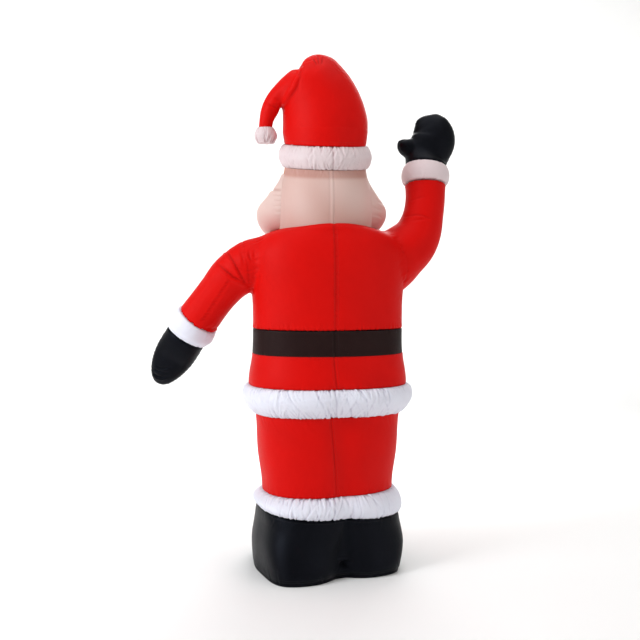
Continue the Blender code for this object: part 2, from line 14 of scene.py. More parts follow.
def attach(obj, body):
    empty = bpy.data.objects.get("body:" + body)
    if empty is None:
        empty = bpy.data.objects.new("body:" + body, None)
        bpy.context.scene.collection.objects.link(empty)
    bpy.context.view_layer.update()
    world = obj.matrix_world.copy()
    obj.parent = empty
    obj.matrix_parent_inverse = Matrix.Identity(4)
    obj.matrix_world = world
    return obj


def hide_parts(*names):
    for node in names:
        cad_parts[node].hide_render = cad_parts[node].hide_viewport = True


# Levels of the seams, from the floor up
BOOT_TOP = 0.288
TROUSER_CUFF_TOP = 0.370
TROUSER_TOP = 0.733
HEM_TOP = 0.864
SKIRT_TOP = 1.009
BELT_TOP = 1.122
COAT_TOP = 1.622
HEAD_TOP_Z = 1.869
HAT_BAND_TOP = 1.974
COAT_HEIGHT = COAT_TOP - BELT_TOP
HEAD_HEIGHT = HEAD_TOP_Z - COAT_TOP

# Girths of the body by height: half the width, depth behind the axis, depth in front of it
BODY_STATIONS = [
    (0.0, (0.315, 0.276, 0.39)),
    (0.14 * BOOT_TOP, (0.32, 0.29, 0.43)),
    (0.48 * BOOT_TOP, (0.339, 0.264, 0.425)),
    (0.78 * BOOT_TOP, (0.333, 0.25, 0.37)),
    (BOOT_TOP, (0.33, 0.243, 0.275)),
    (TROUSER_CUFF_TOP, (0.309, 0.228, 0.25)),
    (0.5 * (TROUSER_CUFF_TOP + TROUSER_TOP), (0.327, 0.246, 0.272)),
    (TROUSER_TOP, (0.339, 0.254, 0.29)),
    (HEM_TOP, (0.369, 0.282, 0.312)),
    (SKIRT_TOP, (0.352, 0.256, 0.318)),
    (BELT_TOP, (0.349, 0.25, 0.314)),
    (BELT_TOP + 0.28 * COAT_HEIGHT, (0.351, 0.25, 0.3)),
    (BELT_TOP + 0.57 * COAT_HEIGHT, (0.362, 0.25, 0.28)),
    (BELT_TOP + 0.74 * COAT_HEIGHT, (0.352, 0.24, 0.258)),
    (BELT_TOP + 0.88 * COAT_HEIGHT, (0.288, 0.218, 0.225)),
    (BELT_TOP + 0.96 * COAT_HEIGHT, (0.15, 0.2, 0.17)),
    (COAT_TOP, (0.07, 0.13, 0.1)),
]
HEAD_DIP = 0.065
HEAD_STATIONS = [
    (COAT_TOP - HEAD_DIP, (0.212, 0.19, 0.195)),
    (COAT_TOP + 0.16 * HEAD_HEIGHT, (0.216, 0.206, 0.212)),
    (COAT_TOP + 0.55 * HEAD_HEIGHT, (0.21, 0.206, 0.214)),
    (HEAD_TOP_Z, (0.189, 0.186, 0.19)),
    (HAT_BAND_TOP, (0.189, 0.186, 0.19)),
]
SQUARENESS = 2.35
HEEL_SQUARENESS = 5.0
TOE_SQUARENESS = 2.0
HEAD_SQUARENESS = 2.1
BEARD_SQUARENESS = 2.3
BOOT_TWIST_DEG = 13.5
BOOT_SHIFT = 0.028
BOOT_SEAM_TIP = 0.07
BOOT_SEAM_LEAN = 0.07
LEG_CLEFT_DEPTH = 0.016
LEG_CLEFT_WIDTH = 0.06
HEEL_CLEFT_DEPTH = 0.038
HEEL_CLEFT_WIDTH = 0.09
TOE_CLEFT_DEPTH = 0.11
TOE_CLEFT_WIDTH = 0.05
HEAD_LEAN = 0.011
HAT_TILT = 0.17

# Where the seam runs up the middle of the back, and the angle near it
BACK_SEAM_X = 0.006
BACK_SEAM_ANGLE = 1.54

# White trims: how far they puff out
HEM_PUFF = 0.04
TROUSER_CUFF_PUFF = 0.032
HAT_BAND_PUFF = 0.028
ARM_CUFF_PUFF = 0.017

# The gap that keeps two skins apart at a seam
CLEARANCE = 0.0003
# Sizes of the cells in which joined forms are made into one skin
COAT_CELL = 0.006
MITTEN_CELL = 0.0046
BEARD_CELL = 0.0058

# Arms: points on the middle line with the radius there. Heights are from the top of the coat.
LEFT_SLEEVE = [
    (0.19, 0.0, -0.172, 0.106),
    (0.29, 0.0, -0.184, 0.114),
    (0.363, -0.006, -0.207, 0.116),
    (0.444, -0.03, -0.257, 0.105),
    (0.503, -0.06, -0.323, 0.0935),
    (0.548, -0.09, -0.381, 0.0915),
    (0.586, -0.114, -0.435, 0.095),
    (0.601, -0.124, -0.459, 0.099),
]
LEFT_WRIST = [
    (0.633, -0.142, -0.503, 0.1),
    (0.656, -0.155, -0.541, 0.0975),
]
LEFT_HAND = [
    (0.706, -0.175, -0.622, 0.0975),
    (0.738, -0.19, -0.675, 0.0875),
    (0.763, -0.2, -0.722, 0.069),
    (0.779, -0.207, -0.759, 0.043),
    (0.785, -0.21, -0.776, 0.015),
]
LEFT_THUMB = [
    (0.668, -0.185, -0.587, 0.034),
    (0.672, -0.232, -0.612, 0.037),
    (0.688, -0.266, -0.65, 0.035),
    (0.697, -0.28, -0.672, 0.024),
    (0.7, -0.285, -0.684, 0.009),
]
RIGHT_SLEEVE = [
    (-0.16, 0.0, -0.237, 0.125),
    (-0.27, 0.0, -0.205, 0.145),
    (-0.359, 0.0, -0.141, 0.129),
    (-0.409, 0.0, -0.093, 0.119),
    (-0.441, -0.003, -0.039, 0.107),
    (-0.462, -0.01, 0.032, 0.0965),
    (-0.475, -0.025, 0.102, 0.0945),
    (-0.48, -0.04, 0.158, 0.096),
    (-0.481, -0.045, 0.18, 0.0985),
]
RIGHT_WRIST = [
    (-0.4835, -0.054, 0.224, 0.098),
    (-0.487, -0.065, 0.267, 0.097),
]
RIGHT_HAND = [
    (-0.493, -0.074, 0.303, 0.101),
    (-0.514, -0.087, 0.354, 0.106),
    (-0.534, -0.1, 0.4, 0.1085),
    (-0.527, -0.111, 0.445, 0.102),
    (-0.511, -0.119, 0.48, 0.082),
    (-0.497, -0.125, 0.505, 0.054),
    (-0.492, -0.128, 0.518, 0.02),
]
RIGHT_THUMB = [
    (-0.47, -0.08, 0.322, 0.04),
    (-0.425, -0.083, 0.346, 0.039),
    (-0.397, -0.087, 0.368, 0.04),
    (-0.383, -0.09, 0.388, 0.03),
    (-0.379, -0.09, 0.402, 0.011),
]
ARMS = {
    "left": (LEFT_SLEEVE, LEFT_WRIST, LEFT_HAND, LEFT_THUMB),
    "right": (RIGHT_SLEEVE, RIGHT_WRIST, RIGHT_HAND, RIGHT_THUMB),
}
MITTEN_FLATNESS = 0.62
THUMB_PLUMPNESS = 0.007
FLATTENING_SPAN = 1.5

# Hat: outer edge x and z, inner edge x and z, half depth. Heights are from the top of its band.
HAT_STATIONS = [
    (-0.187, 0.056, 0.209, 0.056, 0.197),
    (-0.184, 0.126, 0.208, 0.111, 0.19),
    (-0.156, 0.216, 0.209, 0.148, 0.18),
    (-0.108, 0.304, 0.2095, 0.155, 0.172),
    (-0.042, 0.379, 0.2105, 0.161, 0.16),
    (0.002, 0.405, 0.212, 0.164, 0.151),
    (0.056, 0.411, 0.2135, 0.167, 0.141),
    (0.105, 0.39, 0.2155, 0.169, 0.127),
    (0.136, 0.348, 0.2185, 0.169, 0.108),
    (0.182, 0.329, 0.2215, 0.166, 0.085),
    (0.244, 0.27, 0.225, 0.16, 0.062),
    (0.286, 0.214, 0.23, 0.143, 0.047),
    (0.309, 0.158, 0.237, 0.129, 0.039),
    (0.317, 0.108, 0.2515, 0.102, 0.033),
    (0.319, 0.075, 0.259, 0.074, 0.03),
]
POMPOM_RADIUS = 0.052
POMPOM_HEIGHT = 0.071

# Beard with the hair beside the face: height from the coat's top, half width, back y, front y
BEARD_STATIONS = [
    (-0.222, 0.07, -0.235, -0.285),
    (-0.182, 0.145, -0.19, -0.315),
    (-0.122, 0.205, -0.12, -0.335),
    (-0.067, 0.248, -0.03, -0.34),
    (-0.032, 0.286, 0.04, -0.335),
    (0.018, 0.31, 0.078, -0.322),
    (0.068, 0.305, 0.084, -0.292),
    (0.118, 0.266, 0.08, -0.235),
    (0.178, 0.22, 0.07, -0.16),
    (0.22, 0.2, 0.05, -0.11),
]
FACE_OPENING_CENTRE = (HEAD_LEAN, -0.33, COAT_TOP + 0.183)
FACE_OPENING_RADII = (0.15, 0.22, 0.108)
MOUSTACHE_HALF = [
    (0.0, -0.312, 0.075, 0.019),
    (0.032, -0.312, 0.081, 0.029),
    (0.08, -0.3, 0.075, 0.03),
    (0.122, -0.278, 0.056, 0.02),
    (0.146, -0.262, 0.05, 0.007),
]
NOSE_RADIUS = 0.036
NOSE_CENTRE = (HEAD_LEAN, -0.232, COAT_TOP + 0.146)

# Front trim, buckle, and the outlet for the lead behind the boots
FRONT_TRIM_WIDTH = 0.105
FRONT_TRIM_PUFF = 0.014
BUCKLE_WIDTH = 0.16
BUCKLE_PUFF = 0.016
TRIM_MARGIN = 0.006
OUTLET_WIDTH = 0.046
OUTLET_HEIGHT = 0.058
OUTLET_BOTTOM = 0.046
OUTLET_DEPTH = 0.05
OUTLET_KNOT_RADIUS = 0.015
OUTLET_KNOT_LENGTH = 0.024
# The gathered knot in the outlet: shares of its length, and of its radius there
KNOT_SHARES = (0.0, 0.2, 0.45, 0.6, 0.7, 0.8, 0.86, 0.94, 1.0)
KNOT_SIZES = (1.0, 0.93, 0.8, 0.6, 0.52, 0.7, 0.85, 0.8, 0.45)

# Colours of the cloth, and the darker colour towards which uneven dye and painted shade in creases and
# hollows turn it
RED = ("D60500", "9C0200")
WHITE = ("E8E9F4", "A9A4BC")
# The same white cloth tinted pink: painted light, for light from the red cloth that shines through it
PINKISH_WHITE = ("DFCFD1", "B8979B")
# Off-white cloth, tinted pink as painted light for the light that shines through it
HAIR_WHITE = ("DDC1B9", "BE8C80")
BLACK = ("07070A", "010102")
BELT_BLACK = ("231110", "120808")
SKIN = ("E9B48F", "C4805C")
GOLD = ("D9A520", "A06F0C")
FLOOR_WHITE = "F7F7F6"

# Camera: it stands behind the figure, a little to its left
CAMERA_PLACE = (0.6727, 4.2471, 1.385)
CAMERA_LENS = 51.52
CAMERA_PITCH_DEG = 3.0
CAMERA_YAW_DEG = 0.469
SENSOR_WIDTH = 36.0


# Shapes that the solids and the skins share


def along(stations, x):
    """The values at x on smooth curves through stations of (x, values)."""
    places = np.array([station[0] for station in stations], float)
    values = np.array([station[1] for station in stations], float)
    x = np.clip(np.asarray(x, float), places[0], places[-1])
    i = np.searchsorted(places[1:-1], x, side="right")
    before, after = np.maximum(i - 1, 0), np.minimum(i + 2, len(places) - 1)
    span = (places[i + 1] - places[i])[..., None]
    t = (x - places[i])[..., None] / span
    a, b = values[i], values[i + 1]
    slope_a = (b - values[before]) / (places[i + 1] - places[before])[..., None]
    slope_b = (values[after] - a) / (places[after] - places[i])[..., None]
    return (
        a * (1 + 2 * t) * (1 - t) ** 2
        + b * t * t * (3 - 2 * t)
        + span * slope_a * t * (1 - t) ** 2
        + span * slope_b * t * t * (t - 1)
    )


def fade(x, start, end):
    """0 before start, 1 after end, smooth between them."""
    t = np.clip((np.asarray(x, float) - start) / (end - start), 0, 1)
    return t * t * (3 - 2 * t)


def bell(x, width):
    return np.exp(-((x / width) ** 2))


def oval(girth, angle, grow, squareness, rear_squareness=None):
    """Points of a rounded-square oval that is deeper on one side than on the other."""
    half, rear, front = girth[..., 0], girth[..., 1], girth[..., 2]
    c, s = np.cos(angle), np.sin(angle)
    if rear_squareness is None:
        rear_squareness = squareness
    power = 2 / np.where(s > 0, rear_squareness, squareness)
    x = (half + grow) * np.sign(c) * np.abs(c) ** power
    y = (np.where(s > 0, rear, front) + grow) * np.sign(s) * np.abs(s) ** power
    return x, y


def body_point(z, angle, grow=0.0):
    """Points of the body's skin, with the two legs' clefts and the twist of the boots."""
    z, angle, grow = np.broadcast_arrays(z, angle, grow)
    legs = 1 - fade(z, TROUSER_TOP, SKIRT_TOP)
    toes = 1 - fade(z, 0.5 * BOOT_TOP, BOOT_TOP)
    heels = 1 - fade(z, 0, TROUSER_CUFF_TOP)
    rear_squareness = SQUARENESS + (HEEL_SQUARENESS - SQUARENESS) * heels
    front_squareness = SQUARENESS + (TOE_SQUARENESS - SQUARENESS) * toes
    x, y = oval(along(BODY_STATIONS, z), angle, grow, front_squareness, rear_squareness)
    leg_cleft = LEG_CLEFT_DEPTH * legs * bell(x, LEG_CLEFT_WIDTH)
    heel_cleft = HEEL_CLEFT_DEPTH * heels * bell(x, HEEL_CLEFT_WIDTH)
    toe_cleft = TOE_CLEFT_DEPTH * toes * bell(x, TOE_CLEFT_WIDTH)
    y = np.where(y > 0, y - leg_cleft - heel_cleft, y + leg_cleft + toe_cleft)
    x = x + BOOT_SHIFT * (1 - fade(z, 0, 0.8 * BOOT_TOP))
    turn = math.radians(BOOT_TWIST_DEG) * (1 - fade(z, 0.3 * TROUSER_TOP, BELT_TOP))
    c, s = np.cos(turn), np.sin(turn)
    x, y = x * c - y * s, x * s + y * c
    # The seam above the boots dips behind and rises over the insteps and at the left
    seam = fade(z, 0, BOOT_TOP) * (1 - fade(z, BOOT_TOP, TROUSER_CUFF_TOP))
    return np.stack([x, y, z + seam * (BOOT_SEAM_LEAN * x - BOOT_SEAM_TIP * y)], -1)


def head_point(z, angle, grow=0.0):
    """Points of the head's skin. Its rings tip down behind, up to the hat."""
    z, angle, grow = np.broadcast_arrays(z, angle, grow)
    x, y = oval(along(HEAD_STATIONS, z), angle, grow, HEAD_SQUARENESS)
    tip = HAT_TILT * fade(z, COAT_TOP, HEAD_TOP_Z)
    return np.stack([x + HEAD_LEAN, y, z - tip * y], -1)


def beard_point(z, angle, grow=0.0):
    z, angle, grow = np.broadcast_arrays(z, angle, grow)
    stations = [(COAT_TOP + s[0], s[1:]) for s in BEARD_STATIONS]
    values = along(stations, z)
    half, rear, front = values[..., 0], values[..., 1], values[..., 2]
    depth = (rear - front) / 2
    x, y = oval(np.stack([half, depth, depth], -1), angle, grow, BEARD_SQUARENESS)
    return np.stack([x + HEAD_LEAN, (rear + front) / 2 + y, z], -1)


def arm_path(points):
    return [(i, (x, y, COAT_TOP + z, r)) for i, (x, y, z, r) in enumerate(points)]


def arm_frame(path, u):
    """Middle, radius and the two directions across an arm, at places u along its path."""
    u = np.asarray(u, float)
    values = along(path, u)
    ahead = along(path, u + 0.01)[..., :3] - along(path, u - 0.01)[..., :3]
    ahead /= np.linalg.norm(ahead, axis=-1, keepdims=True)
    side = np.cross(ahead, (0.0, 1.0, 0.0))
    side /= np.linalg.norm(side, axis=-1, keepdims=True)
    return values[..., :3], values[..., 3], side, np.cross(side, ahead)


def arm_points(path, u, angle, grow=0.0, flat_from=None):
    """Points around an arm, for places u along it and angles around it."""
    middle, radius, side, back = arm_frame(path, u)
    flat = np.ones_like(radius)
    if flat_from is not None:
        flat = 1 + (MITTEN_FLATNESS - 1) * fade(u, flat_from, flat_from + FLATTENING_SPAN)
    reach = (radius + grow)[..., None]
    across = side * np.cos(angle)[..., None] * reach
    return middle + across + back * (np.sin(angle) * flat)[..., None] * reach


# Making cloth


def at(x, y, z):
    """Points from their coordinates, spread to one shape."""
    return np.stack(np.broadcast_arrays(x, y, z), -1)


def over(u, ring):
    """Places along a form and angles round it, for every one of its points."""
    return np.meshgrid(u, ring, indexing="ij")


def turns(count, dense_at=0.0, extra=0.0, width=0.25):
    """Angles round a piece, closer together near one of them."""
    fine = np.linspace(0, 2 * math.pi, 4000)
    weight = 1 + extra * bell(fine - dense_at, width)
    total = np.concatenate([[0], np.cumsum(weight[:-1])])
    return np.interp(np.arange(count) / count * total[-1], total, fine)


def rows(low, high, count):
    """Levels between two seams, closer together beside the seams."""
    share = np.linspace(0, 1, count)
    eased = share - 0.12 * np.sin(2 * math.pi * share)
    return low + (high - low) * eased


def puffed(share, most):
    """How far a strip puffs out between its two seams, at this share of its height."""
    return most * np.sin(math.pi * (0.03 + 0.94 * share)) ** 0.7


def normals_of(points):
    around = np.roll(points, -1, 1) - np.roll(points, 1, 1)
    upward = np.gradient(points, axis=0)
    normal = np.cross(around, upward)
    normal /= np.maximum(np.linalg.norm(normal, axis=2, keepdims=True), 1e-12)
    outward = points - points.mean(axis=1, keepdims=True)
    return normal if (normal * outward).sum() > 0 else -normal


def pushed(points, amount):
    return points + normals_of(points) * amount[..., None]


def lengths(points):
    """The distance round each piece from its first column, and its whole length, at mid height."""
    middle = points[len(points) // 2]
    steps = np.linalg.norm(np.roll(middle, -1, 0) - middle, axis=1)
    return np.concatenate([[0], np.cumsum(steps[:-1])]), steps.sum()


def tuck(heights, total, depth, width):
    """How far cloth turns in at the seams at its two ends."""
    return -depth * (bell(heights, width) + bell(total - heights, width))[:, None]


def gathers(distance, total, heights, height, count, depth, width, seed, reach, where=None):
    """Creases that run from the two seams of a strip into it, each with a ridge beside it.

    Their reach is a share of the strip's height, and where scales their depth round the strip.
    """
    rng = np.random.default_rng(seed)
    amount = np.zeros((len(heights), len(distance)))
    for _ in range(count):
        centre = rng.random() * total
        from_top = rng.random() < 0.5
        far = height * rng.uniform(*reach)
        slant = rng.uniform(-0.7, 0.7)
        bend = rng.uniform(-5.0, 5.0)
        wide = width * rng.uniform(0.55, 1.5)
        deep = depth * rng.uniform(0.3, 1.0)
        ridge_side = rng.choice((-1.7, 1.7))
        if where is not None:
            deep *= where(centre)
        from_seam = height - heights if from_top else heights
        fall = np.clip(1 - from_seam / far, 0, 1) ** 0.8
        line = centre + slant * from_seam + bend * from_seam**2
        x = distance[None, :] - line[:, None]
        x = (x + total / 2) % total - total / 2
        valley = -np.exp(-np.abs(x) / (0.8 * wide)) + 0.7 * bell(x - ridge_side * wide, 1.1 * wide)
        amount += deep * fall[:, None] * valley
    return amount


def waves(angle, z, amount, seed):
    """The slow unevenness of cloth that air holds out."""
    rng = np.random.default_rng(seed)
    total = np.zeros(np.broadcast(angle, z).shape)
    for n in range(2, 8):
        total += np.sin(n * angle + rng.uniform(4, 22) * z + rng.uniform(0, 6.28)) / n
    return amount * total


def ripples(rng, along_line, numbers):
    """Fine puckers: several waves along a line, each with its own start."""
    return sum(np.sin(n * along_line + rng.uniform(0, 6.28)) for n in numbers)


def tube(points):
    """Vertices and faces of a closed form through rows of points, with a fan over each end."""
    count, columns = points.shape[:2]
    i, j = np.meshgrid(np.arange(count - 1), np.arange(columns), indexing="ij")
    after = (j + 1) % columns
    low, high = i * columns, (i + 1) * columns
    faces = np.stack([low + j, low + after, high + after, high + j], -1).reshape(-1, 4).tolist()
    last, bottom = (count - 1) * columns, count * columns
    for k in range(columns):
        following = (k + 1) % columns
        faces.append([bottom, following, k])
        faces.append([bottom + 1, last + k, last + following])
    around = np.roll(points, -1, 1) - points
    upward = np.gradient(points, axis=0)
    if (np.cross(around, upward) * normals_of(points)).sum() < 0:
        faces = [face[::-1] for face in faces]
    ends = np.stack([points[0].mean(axis=0), points[-1].mean(axis=0)])
    return np.concatenate([points.reshape(-1, 3), ends]), faces


def linked(name, data):
    """A new object in the scene."""
    made = bpy.data.objects.new(name, data)
    bpy.context.collection.objects.link(made)
    return made


def new_mesh(name, vertices, edges, faces):
    mesh = bpy.data.meshes.new(name)
    mesh.from_pydata(vertices, edges, faces)
    mesh.update()
    return linked(name, mesh)


def new_piece(name, form, material, painted_shade=None):
    """A smooth piece of cloth from vertices and faces."""
    vertices, faces = form
    piece = new_mesh(name, vertices.tolist(), [], faces)
    piece.data.shade_smooth()
    piece.data.materials.append(material)
    if painted_shade is not None:
        set_painted_shade(piece, painted_shade)
    return piece


def set_painted_shade(piece, painted_shade):
    """Stores painted shade at each point, from 0 to 1, for the material to read: mostly how deep in a
    crease the point lies, and painted shade for hollows and dimmed cloth.
    """
    mesh = piece.data
    values = np.zeros(len(mesh.vertices), np.float32)
    values[: painted_shade.size] = np.clip(painted_shade, 0, 1).ravel()
    layer = mesh.attributes.new("painted_shade", "FLOAT", "POINT")
    layer.data.foreach_set("value", values)


def dress(piece, slot, *nodes):
    """Fixes a finished piece to the figure, in place of the solids that it covers."""
    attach(piece, "root")
    if nodes:
        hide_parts(*nodes)


def cover(node, points, material, slot, painted_shade=None):
    """A finished skin through rows of points, over the solid of that name."""
    dress(new_piece(f"{node}_cloth", tube(points), material, painted_shade), slot, node)


def plain_copy(piece, name):
    """The piece as its modifiers leave it, as a plain mesh. The first one is removed."""
    bpy.context.view_layer.update()
    depsgraph = bpy.context.evaluated_depsgraph_get()
    mesh = bpy.data.meshes.new_from_object(piece.evaluated_get(depsgraph))
    bpy.data.objects.remove(piece, do_unlink=True)
    return linked(name, mesh)


def one_skin(piece, name, cell, rounds, material):
    """The piece remade as one even skin, and softened."""
    merge = piece.modifiers.new("one skin", "REMESH")
    merge.mode = "VOXEL"
    merge.voxel_size = cell
    merge.use_smooth_shade = True
    soften = piece.modifiers.new("soft joins", "SMOOTH")
    soften.factor = 0.5
    soften.iterations = rounds
    made = plain_copy(piece, name)
    if not made.data.materials:
        made.data.materials.append(material)
    return made


def fused(name, forms, cell, rounds, material):
    """Closed forms joined into one skin."""
    vertices, faces, start = [], [], 0
    for form_vertices, form_faces in forms:
        vertices.append(form_vertices)
        faces += [[start + i for i in face] for face in form_faces]
        start += len(form_vertices)
    piece = new_piece(name, (np.concatenate(vertices), faces), material)
    return one_skin(piece, name, cell, rounds, material)


def soften_where(piece, weight, rounds):
    """Evens out a piece's skin where weight is above 0."""
    group = piece.vertex_groups.new(name="joins")
    for i in np.nonzero(weight > 0.02)[0].tolist():
        group.add([i], float(min(weight[i], 1.0)), "REPLACE")
    step = piece.modifiers.new("even joins", "SMOOTH")
    step.factor = 0.6
    step.iterations = rounds
    step.vertex_group = "joins"
    return plain_copy(piece, str(piece.name))


def cut(piece, name, *shapes):
    """The piece with closed forms taken away from it."""
    cutters = []
    for points in shapes:
        vertices, faces = tube(points)
        cutters.append(new_mesh("cutter", vertices.tolist(), [], faces))
        step = piece.modifiers.new("cut", "BOOLEAN")
        step.operation = "DIFFERENCE"
        step.solver = "EXACT"
        step.object = cutters[-1]
    made = plain_copy(piece, name)
    for cutter in cutters:
        bpy.data.objects.remove(cutter, do_unlink=True)
    return made


def face_out(piece):
    """Turns the faces outwards."""
    shape = bmesh.new()
    shape.from_mesh(piece.data)
    bmesh.ops.recalc_face_normals(shape, faces=shape.faces[:])
    shape.to_mesh(piece.data)
    shape.free()


def skin_of(piece):
    """The points of a piece's mesh and the normals there."""
    mesh = piece.data
    points = np.empty(len(mesh.vertices) * 3)
    mesh.vertices.foreach_get("co", points)
    normals = np.empty(len(mesh.vertices) * 3)
    mesh.vertex_normals.foreach_get("vector", normals)
    return points.reshape(-1, 3), normals.reshape(-1, 3)


def raise_skin(piece, points, normals, amount, full):
    """Moves the skin by amount, and stores painted shade in its creases: a crease as deep as full gets
    the darkest painted shade.
    """
    set_painted_shade(piece, -amount / full)
    piece.data.vertices.foreach_set("co", (points + normals * amount[:, None]).ravel())
    piece.data.update()


def crease(points, line, depth, width, ridge=0.6):
    """A crease along a line of (x, z) on the back of the cloth, with a ridge above it."""
    line = np.array(line, float)
    spot = points[:, [0, 2]]
    best = np.full(len(points), 1e9)
    signed = np.zeros(len(points))
    place = np.zeros(len(points))
    for k, (a, b) in enumerate(zip(line, line[1:])):
        step = b - a
        size = np.linalg.norm(step)
        t = np.clip((spot - a) @ step / size**2, 0, 1)
        offset = spot - a - t[:, None] * step
        gap = np.linalg.norm(offset, axis=1)
        closer = gap < best
        best[closer] = gap[closer]
        signed[closer] = (offset @ np.array([-step[1], step[0]]) / size)[closer]
        place[closer] = (k + t[closer]) / (len(line) - 1)
    ends = np.sin(math.pi * np.clip(place, 0.0, 1.0)) ** 0.6 * (best < 6 * width)
    amount = -depth * bell(best, width) + ridge * depth * bell(signed - 1.8 * width, 1.3 * width)
    return amount * ends


def add_creases(amount, points, creases, where):
    """Adds creases, given as line, depth and width, to the skin's relief."""
    for line, depth, width in creases:
        amount += crease(points, line, depth, width).reshape(amount.shape) * where


def strip(node, point, low, high, count_rows, angle, most, relief, material):
    """A sewn strip of cloth round the figure, with distances from the middle of its back."""
    low = low + CLEARANCE
    levels = rows(low, high, count_rows)
    heights = levels - low
    base = point(levels[:, None], angle[None, :], puffed(heights / (high - low), most)[:, None])
    distance, total = lengths(base)
    behind = np.abs(angle - BACK_SEAM_ANGLE) < 1
    seam = np.interp(-BACK_SEAM_X, -base[len(base) // 2, behind, 0], distance[behind])
    amount = relief(distance - seam, total, heights, high - low)
    points = pushed(base, amount)
    # Painted shade in the gathers, dips and tucked seams, darkest 8 mm deep
    return new_piece(f"{node}_cloth", tube(points), material, -amount / 0.008), points


# Seams: thread laid in stitches along lines on the cloth

SEAM_LINES = {"red": [], "white": [], "black": []}
THREADS = {"red": "A81208", "white": "E8E4E6", "black": "18181C"}
STITCH_SIZES = {"Pitch": 0.010, "Length": 0.0064, "Width": 0.0014}


def sew(colour, line, closed=True):
    """Remembers a line of points on the cloth, to be sewn in that colour of thread."""
    SEAM_LINES[colour].append((np.asarray(line, float), closed))


def sew_edges(colour, points):
    """Stitches round a strip, beside each of its two seams."""
    sew(colour, points[3])
    sew(colour, points[-4])


def stitch_tree(thread):
    """Stitches at an even pitch along every seam line."""
    tree = bpy.data.node_groups.new("stitches along seams", "GeometryNodeTree")
    sockets = tree.interface
    sockets.new_socket("Seams", in_out="INPUT", socket_type="NodeSocketGeometry")
    for name, value in STITCH_SIZES.items():
        socket = sockets.new_socket(name, in_out="INPUT", socket_type="NodeSocketFloat")
        socket.default_value = value
    sockets.new_socket("Stitches", in_out="OUTPUT", socket_type="NodeSocketGeometry")
    given = add(tree, "NodeGroupInput")
    curve = add(tree, "GeometryNodeMeshToCurve", links={"Mesh": (given, "Seams")})
    spacing = {"Curve": (curve, "Curve"), "Length": (given, "Pitch")}
    points = add(tree, "GeometryNodeResampleCurve", {"mode": "LENGTH"}, links=spacing)
    sides = {"X": (given, "Length"), "Y": (given, "Width"), "Z": (given, "Width")}
    size = add(tree, "ShaderNodeCombineXYZ", links=sides)
    bead = add(tree, "GeometryNodeMeshIcoSphere", values={"Radius": 0.5, "Subdivisions": 1})
    shaping = {"Geometry": (bead, "Mesh"), "Scale": (size, "Vector")}
    stitch = add(tree, "GeometryNodeTransform", links=shaping)
    tangent = add(tree, "GeometryNodeInputTangent")
    heading = {"Vector": (tangent, "Tangent")}
    turn = add(tree, "FunctionNodeAlignRotationToVector", {"axis": "X"}, links=heading)
    laying = {
        "Points": (points, "Curve"),
        "Instance": (stitch, "Geometry"),
        "Rotation": (turn, "Rotation"),
    }
    laid = add(tree, "GeometryNodeInstanceOnPoints", links=laying)
    real = add(tree, "GeometryNodeRealizeInstances", links={"Geometry": (laid, "Instances")})
    dyed = {"Geometry": (real, "Geometry")}
    done = add(tree, "GeometryNodeSetMaterial", values={"Material": thread}, links=dyed)
    add(tree, "NodeGroupOutput", links={"Stitches": (done, "Geometry")})
    return tree


def lay_stitches(colour):
    """One piece with every stitch of one colour of thread."""
    vertices, edges = [], []
    for line, closed in SEAM_LINES[colour]:
        start, count = len(vertices), len(line)
        vertices += line.tolist()
        edges += [(start + i, start + i + 1) for i in range(count - 1)]
        if closed:
            edges.append((start + count - 1, start))
    lines = new_mesh("seam lines", vertices, edges, [])
    thread = thread_material(f"{colour} polyester thread", THREADS[colour])
    lines.modifiers.new("stitches", "NODES").node_group = stitch_tree(thread)
    piece = plain_copy(lines, f"stitching_{colour}")
    piece.data.shade_smooth()
    dress(piece, f"{colour}_cloth")


# Materials


def linear(hex_colour):
    """An sRGB hex colour as linear RGBA."""
    values = [int(hex_colour[i : i + 2], 16) / 255 for i in (0, 2, 4)]
    return [v / 12.92 if v <= 0.04045 else ((v + 0.055) / 1.055) ** 2.4 for v in values] + [1.0]


def add(tree, kind, settings=None, values=None, links=None):
    """Adds a node with its settings, its sockets' values and its incoming links."""
    node = tree.nodes.new(kind)
    for name, value in (settings or {}).items():
        setattr(node, name, value)
    for name, value in (values or {}).items():
        node.inputs[name].default_value = value
    for name, (source, output) in (links or {}).items():
        tree.links.new(source.outputs[output], node.inputs[name])
    return node


def new_material(name):
    """A material and the tree of its nodes."""
    material = bpy.data.materials.new(name)
    material.use_nodes = True
    return material, material.node_tree


